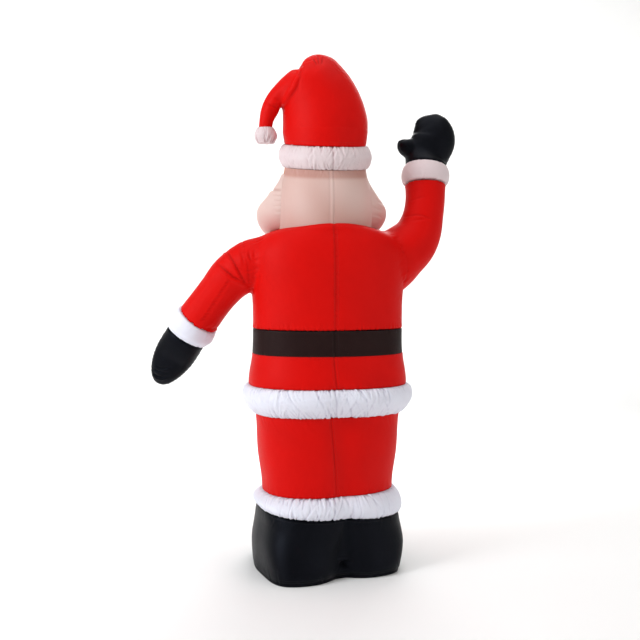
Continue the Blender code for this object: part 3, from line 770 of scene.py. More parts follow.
def coated_cloth(name, colours, rough=0.50, sheen=0.0, glow=0.0, shine=0.2, tint=(1, 1, 1, 1)):
    """Coated polyester taffeta, woven and then sealed on its inside so that it holds air.

    It gives the eye an even colour with a broad soft sheen, a faint crinkle like thin film, and
    painted shade in its creases and hollows. White cloth lets some light through, which glow stands
    for.
    """
    material, tree = new_material(name)
    tree.nodes.clear()
    place = {"Vector": (add(tree, "ShaderNodeTexCoord"), "Object")}
    # Dye takes a little unevenly over a hand's width
    spread = {"Scale": 9.0, "Detail": 3.0, "Roughness": 0.55}
    blotch = add(tree, "ShaderNodeTexNoise", values=spread, links=place)
    # The film wrinkles every 12 mm or so
    spread = {"Scale": 85.0, "Detail": 5.0, "Roughness": 0.6, "Distortion": 0.6}
    crinkle = add(tree, "ShaderNodeTexNoise", values=spread, links=place)
    # The real threads are 0.25 mm apart. They are drawn ten times as coarse, or none would show
    spread = {"Scale": 125.0, "Distortion": 0.4, "Detail": 1.0}
    warp = add(tree, "ShaderNodeTexWave", {"bands_direction": "Z"}, spread, place)
    weft = add(tree, "ShaderNodeTexWave", {"bands_direction": "DIAGONAL"}, spread, place)
    crossed = {0: (warp, "Fac"), 1: (weft, "Fac")}
    weave = add(tree, "ShaderNodeMath", {"operation": "ADD"}, links=crossed)
    # Painted shade: the value stored on the skin, high in creases, hollows and dimmed cloth
    painted_shade = add(tree, "ShaderNodeAttribute", {"attribute_name": "painted_shade"})
    span = {"From Min": 0.3, "From Max": 0.7, "To Min": 0.0, "To Max": 0.10}
    mottled = add(tree, "ShaderNodeMapRange", values=span, links={"Value": (blotch, "Fac")})
    # The larger of uneven dye and painted shade turns the colour towards the shade colour
    deeper = {0: (mottled, "Result"), 1: (painted_shade, "Fac")}
    shade = add(tree, "ShaderNodeMath", {"operation": "MAXIMUM", "use_clamp": True}, links=deeper)
    # Sockets 6 and 7 of the mix, and its output 2, are the ones for colours
    cloth_and_shade_colours = {6: linear(colours[0]), 7: linear(colours[1])}
    colour = add(
        tree, "ShaderNodeMix", {"data_type": "RGBA"}, cloth_and_shade_colours, {"Factor": (shade, "Value")}
    )
    span = {"To Min": rough - 0.06, "To Max": rough + 0.08}
    dull = add(tree, "ShaderNodeMapRange", values=span, links={"Value": (crinkle, "Fac")})
    depth = {"Strength": 0.55, "Distance": 0.0016}
    film = add(tree, "ShaderNodeBump", values=depth, links={"Height": (crinkle, "Fac")})
    depth = {"Strength": 0.25, "Distance": 0.0003}
    raised = {"Height": (weave, "Value"), "Normal": (film, "Normal")}
    woven = add(tree, "ShaderNodeBump", values=depth, links=raised)
    looks = {
        "Metallic": 0.0,
        "IOR": 1.5,
        "Specular IOR Level": shine,
        "Specular Tint": tint,
        "Sheen Weight": sheen,
        "Sheen Roughness": 0.45,
        "Subsurface Weight": glow,
        "Subsurface Radius": (0.04, 0.032, 0.032),
        "Subsurface Scale": 1.0,
    }
    joined = {"Roughness": (dull, "Result"), "Normal": (woven, "Normal"), "Base Color": (colour, 2)}
    shader = add(tree, "ShaderNodeBsdfPrincipled", values=looks, links=joined)
    add(tree, "ShaderNodeOutputMaterial", links={"Surface": (shader, "BSDF")})
    return material


def thread_material(name, hex_colour):
    """Spun polyester sewing thread: round, a little fuzzy and duller than the cloth."""
    material, tree = new_material(name)
    shader = tree.nodes["Principled BSDF"]
    shader.inputs["Base Color"].default_value = linear(hex_colour)
    shader.inputs["Roughness"].default_value = 0.7
    place = {"Vector": (add(tree, "ShaderNodeTexCoord"), "Object")}
    twist = add(tree, "ShaderNodeTexNoise", values={"Scale": 900.0, "Detail": 2.0}, links=place)
    depth = {"Strength": 0.4, "Distance": 0.0003}
    bump = add(tree, "ShaderNodeBump", values=depth, links={"Height": (twist, "Fac")})
    tree.links.new(bump.outputs["Normal"], shader.inputs["Normal"])
    return material


def floor_material():
    """Matt painted studio floor: pale, even and without gloss."""
    material, tree = new_material("matt studio floor paint")
    shader = tree.nodes["Principled BSDF"]
    shader.inputs["Base Color"].default_value = linear(FLOOR_WHITE)
    shader.inputs["Roughness"].default_value = 0.85
    return material


# The pieces


def make_boots(cloth):
    """The boots, with the pocket behind them for the outlet, and the gathered knot in it."""
    angle = turns(340, dense_at=math.pi / 2, extra=6.0, width=0.18)
    spans = ((0.0, 0.03, 9), (0.033, 0.115, 36), (0.12, BOOT_TOP, 36))
    levels = np.concatenate([np.linspace(*span) for span in spans])
    base = body_point(levels[:, None], angle[None, :])
    distance, total = lengths(base)
    amount = waves(angle[None, :], levels[:, None], 0.0016, 11) * fade(levels, 0.02, 0.08)[:, None]
    amount += gathers(distance, total, levels, BOOT_TOP, 150, 0.0022, 0.006, 12, (0.06, 0.3))
    amount += -0.005 * bell(BOOT_TOP - levels, 0.006)[:, None]
    # The sole is sewn on just above the floor
    amount += -0.0035 * bell(levels - 0.014, 0.003)[:, None]
    seam = bell((angle - math.pi / 2)[None, :] * 0.25, 0.0035) * fade(levels, 0.09, 0.13)[:, None]
    amount += -0.004 * seam
    amount = np.where(levels[:, None] < 0.004, 0, amount)
    points = pushed(base, amount)
    points[..., 2] = np.maximum(points[..., 2], 0.0)
    turn = math.radians(BOOT_TWIST_DEG)
    outward = np.array([-math.sin(turn), math.cos(turn), 0.0])
    across = np.array([math.cos(turn), math.sin(turn), 0.0])
    skin = body_point(OUTLET_BOTTOM + OUTLET_HEIGHT / 2, math.pi / 2)
    sideways = (points - skin) @ across
    upward = (points[..., 2] - OUTLET_BOTTOM) / OUTLET_HEIGHT
    behind = (points - skin) @ outward > -0.09
    # The pocket of the outlet is bell-shaped: wide at the bottom, round at the top
    narrowing = 1 - 0.32 * np.clip(upward, 0, 1)
    half = 0.56 * OUTLET_WIDTH * narrowing * np.clip(1 - np.clip(upward, 0, 1) ** 7, 0, 1) ** 0.5
    inside = fade(half - np.abs(sideways), -0.001, 0.0035) * (upward > 0) * (upward < 1) * behind
    ridge = bell(sideways + 0.62 * OUTLET_WIDTH, 0.007) * bell(upward - 0.45, 0.5) * behind
    roll = bell(half + 0.004 - np.abs(sideways), 0.004) * (upward > 0) * (upward < 1) * behind
    points = points - outward * (OUTLET_DEPTH * inside)[..., None]
    points = points + outward * (0.006 * ridge + 0.003 * roll)[..., None]
    # Painted shade in the creases and seams, and deep in the pocket of the outlet
    cover("boots", points, cloth, "black_cloth", -amount / 0.004 + inside)
    sew("black", points[-4])
    sew("black", points[8])
    knot = []
    back = skin - outward * (OUTLET_DEPTH - CLEARANCE)
    turning = np.linspace(0, 2 * math.pi, 72, endpoint=False)
    ring = np.cos(turning)[:, None] * across + np.sin(turning)[:, None] * np.array([0, 0, 1.0])
    for share, size in zip(KNOT_SHARES, KNOT_SIZES):
        reach = OUTLET_KNOT_RADIUS * size * (1 + 0.09 * np.cos(11 * turning + 4 * share))
        knot.append(back + outward * OUTLET_KNOT_LENGTH * share + ring * reach[:, None])
    knot = np.array(knot)
    # Painted shade over the whole knot, deep in the pocket of the outlet
    cover("lead_outlet", knot, cloth, "black_cloth", np.full(knot.size // 3 + 2, 0.4))


def trim_relief(count, deepest, seed):
    """Gathers, deepest round the middle of the back and fading towards the sides."""

    def relief(distance, total, heights, height):
        def where(centre):
            from_back = abs((centre / total + 0.5) % 1 - 0.5)
            return 0.25 + 0.75 * math.exp(-((from_back / 0.17) ** 2))

        sheet = (distance, total, heights, height)
        amount = gathers(*sheet, count, deepest, 0.0045, seed, (0.40, 1.1), where)
        amount += gathers(*sheet, 3 * count, 0.0028, 0.0028, seed + 40, (0.15, 0.6))
        middle = bell(distance, 0.004)[None, :]
        return amount - 0.004 * middle + tuck(heights, height, 0.0022, 0.004)

    return relief


def make_trims(white, white_with_painted_red_glow):
    """The puffed white strips round the boots' tops, the coat's edge and the hat."""
    body, head = (body_point, 720, 0.0048, white), (head_point, 480, 0.0034, white_with_painted_red_glow)
    for node, low, high, most, count, seed, (point, columns, deepest, cloth) in (
        ("trouser_cuff", BOOT_TOP, TROUSER_CUFF_TOP, TROUSER_CUFF_PUFF, 230, 21, body),
        ("coat_hem", TROUSER_TOP, HEM_TOP, HEM_PUFF, 300, 22, body),
        ("hat_band", HEAD_TOP_Z, HAT_BAND_TOP, HAT_BAND_PUFF, 190, 23, head),
    ):
        relief = trim_relief(count, deepest, seed)
        piece, points = strip(node, point, low, high, 50, turns(columns), most, relief, cloth)
        dress(piece, "white_cloth", node)
        sew_edges("white", points)


def panel_relief(seed):
    """Fine puckers along both seams, and the seam up the middle of the back."""

    def relief(distance, total, heights, height):
        angle = distance / total * 2 * math.pi
        amount = waves(angle[None, :], heights[:, None], 0.0012, seed)
        sheet = (distance, total, heights, height)
        amount += gathers(*sheet, 190, 0.0016, 0.005, seed + 1, (0.08, 0.28))
        middle = bell(distance, 0.0030)[None, :]
        return amount - 0.0040 * middle + tuck(heights, height, 0.0014, 0.004)

    return relief


def make_panels(red, belt_black):
    """The trousers, the coat's skirt and the belt."""
    angle = turns(380, BACK_SEAM_ANGLE, 1.5, 0.12)
    for node, low, high, count, seed, cloth, slot, thread in (
        ("trousers", TROUSER_CUFF_TOP, TROUSER_TOP, 84, 31, red, "red_cloth", "red"),
        ("coat_skirt", HEM_TOP, SKIRT_TOP, 44, 33, red, "red_cloth", "red"),
        ("belt", SKIRT_TOP, BELT_TOP, 32, 35, belt_black, "belt_cloth", "black"),
    ):
        relief = panel_relief(seed)
        piece, points = strip(node, body_point, low, high, count, angle, 0.0, relief, cloth)
        dress(piece, slot, node)
        middle = points[len(points) // 2]
        back = int(np.argmin(np.abs(middle[:, 0] - BACK_SEAM_X) + (middle[:, 1] < 0)))
        sew_edges(thread, points)
        for side in (-3, 3):
            sew(thread, points[2:-2, back + side], closed=False)


def beyond_body(points):
    """How far points lie outside the body's own skin, which is a rounded square in plan."""
    x, y, z = points.T
    girth = along(BODY_STATIONS, z)
    depth = np.where(y > 0, girth[:, 1], girth[:, 2])
    plan = np.abs(x / girth[:, 0]) ** SQUARENESS + np.abs(y / depth) ** SQUARENESS
    plan = plan ** (1 / SQUARENESS)
    return (plan - 1) * np.hypot(x, y) / np.maximum(plan, 0.2)


def beyond_arm(path, end, points):
    """For each point: the place along an arm nearest to it, the middle there, how far outside."""
    u = np.linspace(0, end, 220)
    middle, radius, _, _ = arm_frame(path, u)
    best = np.full(len(points), 1e9)
    index = np.zeros(len(points), int)
    for i, place in enumerate(middle):
        gap = np.linalg.norm(points - place, axis=1)
        closer = gap < best
        best[closer] = gap[closer]
        index[closer] = i
    return u[index], middle[index], best - radius[index]


# The armholes' seams, left and right: levels and x
ARMHOLES = (
    ((1.26, 1.313, 1.367, 1.421, 1.474, 1.54), (0.368, 0.371, 0.375, 0.382, 0.393, 0.40)),
    ((1.26, 1.325, 1.390, 1.436, 1.489, 1.60), (-0.325, -0.339, -0.355, -0.352, -0.328, -0.30)),
)

# Creases on the back of the coat: lines of (x, z), depth and width
COAT_CREASES = [
    ([(0.478, 1.486), (0.46, 1.459), (0.436, 1.413), (0.406, 1.359), (0.388, 1.336)], 0.007, 0.0055),
    ([(0.52, 1.428), (0.482, 1.394), (0.444, 1.359), (0.413, 1.347), (0.374, 1.326)], 0.008, 0.006),
    ([(0.5, 1.4), (0.47, 1.372), (0.45, 1.34)], 0.003, 0.006),
    ([(0.377, 1.486), (0.374, 1.451), (0.364, 1.436)], 0.0045, 0.0045),
    ([(0.353, 1.486), (0.352, 1.446)], 0.0025, 0.005),
    ([(0.415, 1.49), (0.405, 1.45), (0.398, 1.415)], 0.003, 0.005),
    ([(-0.355, 1.644), (-0.4, 1.65), (-0.431, 1.649), (-0.49, 1.624)], 0.0045, 0.005),
    ([(-0.38, 1.623), (-0.44, 1.631), (-0.482, 1.612)], 0.003, 0.005),
    ([(-0.385, 1.716), (-0.418, 1.73), (-0.45, 1.738)], 0.002, 0.005),
    ([(-0.362, 1.392), (-0.35, 1.34), (-0.338, 1.3)], 0.003, 0.006),
]


def make_coat(red):
    """The coat's body and its two sleeves, which are sewn into one skin."""
    waist = np.linspace(BELT_TOP + CLEARANCE, BELT_TOP + 0.7 * COAT_HEIGHT, 60)
    shoulders = np.linspace(BELT_TOP + 0.71 * COAT_HEIGHT, COAT_TOP, 50)
    levels = np.concatenate([waist, shoulders])
    forms = [tube(body_point(levels[:, None], turns(240)[None, :]))]
    paths = {}
    for side, (sleeve, wrist, hand, _) in ARMS.items():
        path, end = arm_path(sleeve + wrist + hand), len(sleeve) - 1
        forms.append(tube(arm_points(path, *over(np.linspace(0, end, 90), turns(120)))))
        paths[side] = (path, end)
    coat = fused("coat_cloth", forms, COAT_CELL, 3, red)
    points, _ = skin_of(coat)
    joins = np.zeros(len(points))
    for path, end in paths.values():
        _, _, outside_sleeve = beyond_arm(path, end, points)
        near = bell(outside_sleeve - beyond_body(points), 0.05) * (np.abs(points[:, 0]) > 0.2)
        joins += near * fade(points[:, 2], 1.35, 1.42)
    coat = soften_where(coat, joins, 100)
    points, normals = skin_of(coat)
    x, y, z = points.T
    amount = np.zeros(len(points))
    turn = np.arctan2(y, x)
    outside_body = beyond_body(points)
    for side, (path, end) in paths.items():
        u, middle, outside_sleeve = beyond_arm(path, end, points)
        # Fine puckers cross the armhole seam and gather the cloth at the sleeve's end
        rng = np.random.default_rng(51 if side == "left" else 52)
        puckers = ripples(rng, np.arctan2(y - middle[:, 1], z - middle[:, 2]), (17, 23, 31, 41))
        amount += 0.0007 * puckers * bell(outside_sleeve - outside_body, 0.02) * (np.abs(x) > 0.24)
        if side == "left":
            # The hanging sleeve is full underneath
            below = np.clip(-normals[:, 2], 0, 1) * (outside_body > 0)
            amount += 0.013 * bell(u - 5.3, 1.9) * below
        to_end = end - u
        beyond = (outside_body > 0.01) & (outside_sleeve < 0.03)
        amount += 0.0011 * puckers * bell(to_end, 0.35) * beyond
        amount += -0.004 * (to_end < 0.12) * beyond
    # The seam down the middle of the back, with its fine cross puckers
    back = (y > 0.1) & (np.abs(x) < 0.05)
    amount += -0.0042 * bell(x, 0.0045) * back
    rng = np.random.default_rng(53)
    ladder = ripples(rng, z, (190, 260, 330))
    amount += 0.0005 * ladder * bell(np.abs(x) - 0.008, 0.008) * back
    # Puckers along the belt's seam
    low = z - BELT_TOP
    puckers = ripples(rng, turn, (83, 107, 139, 61))
    amount += 0.0009 * puckers * bell(low, 0.022)
    amount += -0.0028 * bell(low, 0.004)
    amount += waves(turn, z, 0.0012, 54)
    add_creases(amount, points, COAT_CREASES, normals[:, 1] > -0.1)
    # Small puckers along the seam under the left sleeve
    for k in range(13):
        t = k / 12
        spot = np.array([0.471 + 0.107 * t, 1.338 - 0.170 * t])
        line = [spot + (-0.012, 0.003), spot + (0.011, -0.005)]
        amount += crease(points, line, 0.0042, 0.0040) * (normals[:, 1] > 0)
    for seam_levels, seam_places in ARMHOLES:
        reach = np.abs(x) > 0.27
        from_seam = (x - np.interp(z, seam_levels, seam_places)) * reach + (1 - reach)
        here = (z > 1.25) & (z < 1.56)
        amount += -0.0022 * bell(from_seam, 0.0040) * here
        puckers = ripples(np.random.default_rng(57), np.arctan2(y, z - 1.40), (23, 31, 41))
        amount += 0.0006 * puckers * bell(from_seam, 0.014) * here
    # Painted shade in the creases, puckers and seams, darkest 12 mm deep
    raise_skin(coat, points, normals, amount, 0.012)
    dress(coat, "red_cloth", "coat_body", "sleeve_left", "sleeve_right")
    z_line = np.linspace(BELT_TOP + 0.01, COAT_TOP - 0.03, 120)
    line = body_point(z_line, np.full_like(z_line, math.pi / 2))
    for side in (-0.0085, 0.0085):
        sew("red", line + np.array([side, 0.0004, 0]), closed=False)


# Creases across the tip of the hanging mitten: lines of (x, z)
TIP_CREASES = [
    [(0.8, 0.94), (0.78, 0.928), (0.758, 0.928), (0.735, 0.934)],
    [(0.815, 0.902), (0.795, 0.886), (0.772, 0.882), (0.75, 0.888)],
    [(0.806, 0.922), (0.785, 0.912), (0.765, 0.912)],
]


def make_cuff(side, path, low, high, cloth, seed):
    """The white strip round a wrist."""
    share = rows(0, 1, 30)
    places = over(low + (high - low) * share, turns(280))
    base = arm_points(path, *places, puffed(share, ARM_CUFF_PUFF)[:, None])
    distance, total = lengths(base)
    height = np.linalg.norm(base[-1].mean(axis=0) - base[0].mean(axis=0))
    heights = share * height
    amount = gathers(distance, total, heights, height, 60, 0.0018, 0.005, seed, (0.2, 0.7))
    amount += tuck(heights, height, 0.0025, 0.004)
    points = pushed(base, amount)
    # Painted shade in the gathers and the tucked seams
    cover(f"cuff_{side}", points, cloth, "white_cloth", -amount / 0.010)
    sew_edges("white", points)


def make_mitten(side, path, start, thumb, black, seed):
    """A mitten: a flattened hand and a thumb in one skin, with a seam round its edge."""
    last = len(path) - 1
    ring = turns(110)
    places = over(start + (last - start) * np.linspace(0, 1, 90), ring)
    hand_form = tube(arm_points(path, *places, flat_from=start))
    plump = THUMB_PLUMPNESS * np.sin(math.pi * np.linspace(0.25, 1, 40))[:, None]
    places = over(np.linspace(0, len(thumb) - 1, 40), ring)
    thumb_form = tube(arm_points(arm_path(thumb), *places, plump))
    mitten = fused(f"mitten_{side}_cloth", [hand_form, thumb_form], MITTEN_CELL, 22, black)
    points, normals = skin_of(mitten)
    steps = 120
    middle, radius, across, back = arm_frame(path, np.linspace(start, last, steps))
    axis = middle[-1] - middle[0]
    index = np.searchsorted((middle - middle[0]) @ axis, (points - middle[0]) @ axis)
    index = np.clip(index, 0, steps - 1)
    flatwise = np.einsum("ij,ij->i", points - middle[index], back[index])
    sidewise = np.einsum("ij,ij->i", points - middle[index], across[index])
    edge = np.abs(sidewise) > 0.5 * radius[index]
    amount = -0.0012 * bell(flatwise, 0.0035) * edge
    ladder = ripples(np.random.default_rng(seed + 5), index / steps * 0.3, (260, 340, 420))
    amount += 0.0005 * ladder * bell(flatwise, 0.016) * edge
    amount += -0.004 * bell(index * 0.003, 0.006)
    if side == "left":
        creases = [(line, 0.0060, 0.0050) for line in TIP_CREASES]
        add_creases(amount, points, creases, normals[:, 1] > 0)
    # Painted shade in the seams and creases, darkest 6 mm deep
    raise_skin(mitten, points, normals, amount, 0.006)
    dress(mitten, "black_cloth", f"mitten_{side}")


def make_cuffs_and_mittens(white, white_with_painted_red_glow, black):
    for side, cloth, seed in (("left", white, 61), ("right", white_with_painted_red_glow, 62)):
        sleeve, wrist, hand, thumb = ARMS[side]
        path = arm_path(sleeve + wrist + hand)
        low = len(sleeve) - 1
        high = low + len(wrist)
        make_cuff(side, path, low, high, cloth, seed)
        make_mitten(side, path, high, thumb, black, seed)


def half_head(node, cloth, slot, seed):
    """One half of the head, parted from the other at the side seams."""
    rear = node == "head_back"
    start, side = (0.0, 1) if rear else (math.pi, -1)
    width = 0.66
    levels = rows(COAT_TOP - 0.06, HEAD_TOP_Z - CLEARANCE, 72)
    levels = np.concatenate([[COAT_TOP - HEAD_DIP], levels])
    arc = np.linspace(start, start + math.pi, 221)
    curved = head_point(levels[:, None], arc[None, :])
    curved[..., 1] += 0.0008 * side
    heights = levels - levels[0]
    distance = (arc - start) / math.pi * width
    amount = waves(arc[None, :], levels[:, None], 0.0012, seed)
    reach = (0.05, 0.18)
    amount += gathers(distance, width, heights, heights[-1], 60, 0.0012, 0.005, seed + 1, reach)
    amount += -0.0015 * (bell(distance, 0.005) + bell(width - distance, 0.005))[None, :]
    if rear:
        # The panels' edges meet in a welt down the middle
        from_middle = distance - width / 2
        welt = bell(from_middle, 0.0042) - 0.7 * bell(np.abs(from_middle) - 0.009, 0.003)
        amount += 0.0018 * welt[None, :]
    outward = (curved - np.array([HEAD_LEAN, 0, 0])) * np.array([1, 1, 0])
    outward /= np.linalg.norm(outward, axis=2, keepdims=True)
    curved = curved + outward * amount[..., None]
    inner = np.linspace(0, 1, 24)[1:-1][None, :, None]
    flat = curved[:, -1:, :] * (1 - inner) + curved[:, :1, :] * inner
    flat[..., 1] += 0.004 * side
    points = np.concatenate([curved, flat], axis=1)
    painted_shade = np.zeros(points.shape[:2])
    # Painted shade for the light that comes through the cloth: a little everywhere, more where the hat
    # hangs inside and where two layers of cloth meet. The creases get painted shade too.
    painted_dimming = 0.30 + 0.60 * fade(levels, HEAD_TOP_Z - 0.050, HEAD_TOP_Z - 0.028)[:, None]
    painted_dimming = painted_dimming + 0.35 * fade(-levels, -COAT_TOP - 0.10, -COAT_TOP + 0.06)[:, None]
    painted_shade[:, : amount.shape[1]] = painted_dimming - amount / 0.008
    cover(node, points, cloth, slot, painted_shade)
    if rear:
        for k in (107, 113):
            sew("white", curved[12:-3, k] + outward[12:-3, k] * 0.0004, closed=False)


# Creases on the hat, and one that notches its outline where the tail begins
HAT_CREASES = [
    ([(0.146, 2.292), (0.146, 2.254), (0.16, 2.209), (0.19, 2.164), (0.22, 2.112)], 0.005, 0.008),
    ([(0.086, 2.36), (0.076, 2.332), (0.069, 2.312)], 0.004, 0.0045),
    ([(0.06, 2.366), (0.058, 2.34), (0.061, 2.314)], 0.004, 0.004),
    ([(0.034, 2.362), (0.042, 2.338), (0.047, 2.316)], 0.0035, 0.0045),
    ([(0.296, 2.166), (0.268, 2.143), (0.236, 2.133)], 0.003, 0.005),
    ([(0.262, 2.19), (0.24, 2.17), (0.214, 2.16)], 0.002, 0.006),
    ([(0.12, 2.33), (0.09, 2.338), (0.057, 2.343)], 0.002, 0.004),
]
HAT_NOTCH = [(0.172, 2.334), (0.15, 2.32), (0.128, 2.31)]


def make_hat(red, white_with_painted_red_glow):
    """The hat with its hanging tail, and the pompom at the tail's end."""
    spans = ((0, 4, 36), (4.05, 9, 60), (9.1, 14, 40))
    index = np.concatenate([np.linspace(*span) for span in spans])
    values = along(list(enumerate(HAT_STATIONS)), index)
    ring = turns(230)
    outer = at(values[:, 0], 0.0, HAT_BAND_TOP + values[:, 1])
    inner = at(values[:, 2], 0.0, HAT_BAND_TOP + values[:, 3])
    middle, half = (outer + inner) / 2, (inner - outer) / 2
    points = middle[:, None, :] + half[:, None, :] * np.cos(ring)[None, :, None]
    points[..., 1] += values[:, 4][:, None] * np.sin(ring)[None, :]
    foot = head_point(np.full((1, 1), HAT_BAND_TOP + CLEARANCE), ring[None, :])
    share = fade(np.linspace(0, 1, 14), 0, 1)[:-1, None, None]
    points = np.concatenate([foot * (1 - share) + points[:1] * share, points])
    distance, total = lengths(points)
    height = 0.8
    heights = np.linspace(0, height, len(points))
    amount = waves(ring[None, :], heights[:, None], 0.0013, 71)
    amount += gathers(distance, total, heights, height, 110, 0.0010, 0.005, 72, (0.02, 0.06))
    amount += (-0.003 * bell(heights, 0.006))[:, None]
    flat = points.reshape(-1, 3)
    add_creases(amount, flat, HAT_CREASES, normals_of(points)[..., 1] > -0.1)
    amount += crease(flat, HAT_NOTCH, 0.010, 0.008, ridge=0.2).reshape(amount.shape)
    points = pushed(points, amount)
    # Painted shade in the creases, the gathers and the notch
    cover("hat", points, red, "red_cloth", -amount / 0.012)
    sew("red", points[4])
    outer_x, outer_z, inner_x, inner_z, _ = HAT_STATIONS[-1]
    x, top = (outer_x + inner_x) / 2, HAT_BAND_TOP + min(outer_z, inner_z) - CLEARANCE
    share = rows(0, 1, 36)
    ring = turns(200)[None, :]
    reach = POMPOM_RADIUS * (0.62 + 0.38 * np.sin(math.pi * (0.08 + 0.84 * share)))[:, None]
    heights = share * POMPOM_HEIGHT
    points = at(x + reach * np.cos(ring), reach * np.sin(ring), (top - POMPOM_HEIGHT * share)[:, None])
    distance, total = lengths(points)
    amount = gathers(distance, total, heights, POMPOM_HEIGHT, 60, 0.0030, 0.004, 73, (0.5, 1.0))
    # Painted shade in the gathers
    cover("pompom", pushed(points, amount), white_with_painted_red_glow, "white_cloth", -amount / 0.003)


def ball(centre, radii, count, columns):
    """A rounded form, with small flat ends above and below."""
    tilt = np.linspace(-0.49 * math.pi, 0.49 * math.pi, count)[:, None]
    ring = turns(columns)[None, :]
    x = centre[0] + radii[0] * np.cos(tilt) * np.cos(ring)
    y = centre[1] + radii[1] * np.cos(tilt) * np.sin(ring)
    return at(x, y, centre[2] + radii[2] * np.sin(tilt))


# Puckers beside the side seams of the hair, seen from behind
BEARD_CREASES = [
    ([(0.29, 1.786), (0.262, 1.772), (0.235, 1.764), (0.205, 1.762)], 0.006, 0.007),
    ([(0.262, 1.745), (0.232, 1.738), (0.205, 1.736)], 0.003, 0.005),
    ([(0.255, 1.718), (0.232, 1.714), (0.205, 1.716)], 0.0035, 0.0045),
    ([(0.262, 1.69), (0.236, 1.688), (0.205, 1.692)], 0.003, 0.005),
    ([(0.25, 1.66), (0.23, 1.662), (0.205, 1.668)], 0.0025, 0.005),
    ([(-0.225, 1.735), (-0.245, 1.715), (-0.285, 1.7)], 0.0035, 0.006),
    ([(-0.205, 1.69), (-0.235, 1.682), (-0.262, 1.676)], 0.0025, 0.005),
    ([(-0.205, 1.655), (-0.235, 1.65), (-0.265, 1.64)], 0.0025, 0.005),
]


def make_beard(hair):
    """The beard with the hair beside the face, cut round the face, the head and the coat."""
    levels = COAT_TOP + np.linspace(BEARD_STATIONS[0][0], BEARD_STATIONS[-1][0], 70)
    angle = turns(180)
    points = beard_point(levels[:, None], angle[None, :])
    # Sewn channels run down the front and fan out, with a puff between each two
    front = np.clip(-np.sin(angle), 0, 1)[None, :]
    channel = np.abs(np.sin(5.5 * (angle - 1.5 * math.pi)))[None, :] ** 0.6
    amount = (channel - 0.6) * 0.014 * front * fade(levels, levels[0], levels[0] + 0.08)[:, None]
    beard = new_piece("beard_cloth", tube(pushed(points, amount)), hair)
    ring = turns(120)[None, :]
    head_levels = np.linspace(COAT_TOP - HEAD_DIP, HEAD_TOP_Z, 40)[:, None]
    coat_levels = np.linspace(BELT_TOP, COAT_TOP, 60)[:, None]
    whole = cut(
        beard,
        "beard whole",
        ball(FACE_OPENING_CENTRE, FACE_OPENING_RADII, 30, 60),
        head_point(head_levels, ring, -0.009),
        body_point(coat_levels, ring, 0.0015),
    )
    beard = one_skin(whole, "beard_cloth", BEARD_CELL, 5, hair)
    points, normals = skin_of(beard)
    turn = np.arctan2(points[:, 1] + 0.1, points[:, 0] - HEAD_LEAN)
    amount = waves(turn, points[:, 2], 0.0012, 85)
    add_creases(amount, points, BEARD_CREASES, normals[:, 1] > -0.3)
    # Painted shade in the puckers, darkest 10 mm deep
    raise_skin(beard, points, normals, amount, 0.010)
    dress(beard, "hair_cloth", "beard")


def make_face(white, skin, black):
    """The moustache, the nose, the eyes and the brows."""
    mirrored = [(-x, y, z, r) for x, y, z, r in MOUSTACHE_HALF[:0:-1]]
    path = arm_path([(x + HEAD_LEAN, y, z, r) for x, y, z, r in mirrored + MOUSTACHE_HALF])
    ring = turns(64)
    points = arm_points(path, *over(np.linspace(0, len(path) - 1, 90), ring))
    amount = 0.0016 * np.sin(5 * ring + 0.6)[None, :] * np.sin(np.linspace(0, math.pi, 90))[:, None]
    cover("moustache", pushed(points, amount), white, "white_cloth")
    points = ball(NOSE_CENTRE, (NOSE_RADIUS, NOSE_RADIUS, 0.9 * NOSE_RADIUS), 40, 64)
    cover("nose", points, skin, "skin_cloth")
    # Each pad: x, shift to one side, height above the coat's top, half sizes, thickness, bow
    for side, name in ((-1, "right"), (1, "left")):
        for pad, x, shift, z, wide, tall, thick, bow, cloth, slot in (
            ("eye", 0.058, 0.0, 0.186, 0.017, 0.024, 0.004, 0.0, black, "black_cloth"),
            ("eye_light", 0.058, 0.005, 0.194, 0.005, 0.006, 0.0065, 0.0, white, "white_cloth"),
            ("brow", 0.060, 0.0, 0.226, 0.034, 0.010, 0.006, 0.010, white, "white_cloth"),
        ):
            form = patch(side * x + shift, COAT_TOP + z, wide, tall, thick, bow)
            piece = new_piece(f"{pad}_{name}", form, cloth)
            face_out(piece)
            dress(piece, slot)


def front_angle(x, half, squareness):
    """The angle at which the front of a rounded square has this x."""
    share = np.clip(np.abs(x) / half, 0, 1) ** (squareness / 2)
    return np.where(x >= 0, -np.arccos(share), -math.pi + np.arccos(share))


def patch(x, z, half_width, half_height, thickness, bow):
    """A small sewn-on oval on the face, crowned in the middle."""
    ring = turns(40)[None, :]
    share = np.array([0.001, 0.3, 0.55, 0.75, 0.9, 1.0, 1.0])[:, None]
    crown = np.array([1.0, 0.96, 0.88, 0.72, 0.5, 0.18, -0.6])[:, None] * thickness
    px = x + half_width * share * np.cos(ring)
    pz = z + half_height * share * np.sin(ring) + bow * (1 - ((px - x) / half_width) ** 2)
    half = along(HEAD_STATIONS, pz)[..., 0]
    return tube(head_point(pz, front_angle(px, half, HEAD_SQUARENESS), crown))


def front_pad(low, high, width, most, seed, lift):
    """A crowned pad on the front of the body, with every sixth column on its hidden side."""
    levels = rows(low, high, 80)
    across = np.linspace(-0.5, 0.5, 70) * width
    half = along(BODY_STATIONS, levels)[:, 0][:, None]
    angle = front_angle(across[None, :], half, SQUARENESS)
    crown = (1 - np.abs(2 * across / width) ** 4)[None, :] ** 0.5
    ends = np.clip(np.minimum(levels - low, high - levels) / 0.012, 0, 1)[:, None] ** 0.5
    grow = lift + most * crown * ends
    sheet = (across - across[0], width * 1.4, levels - low, high - low)
    grow = grow + gathers(*sheet, 26, 0.0018, 0.006, seed, (0.05, 0.2))
    front = body_point(levels[:, None], angle, grow)
    back = body_point(levels[:, None], angle[:, ::-6], -0.012)
    return tube(np.concatenate([front, back], axis=1))


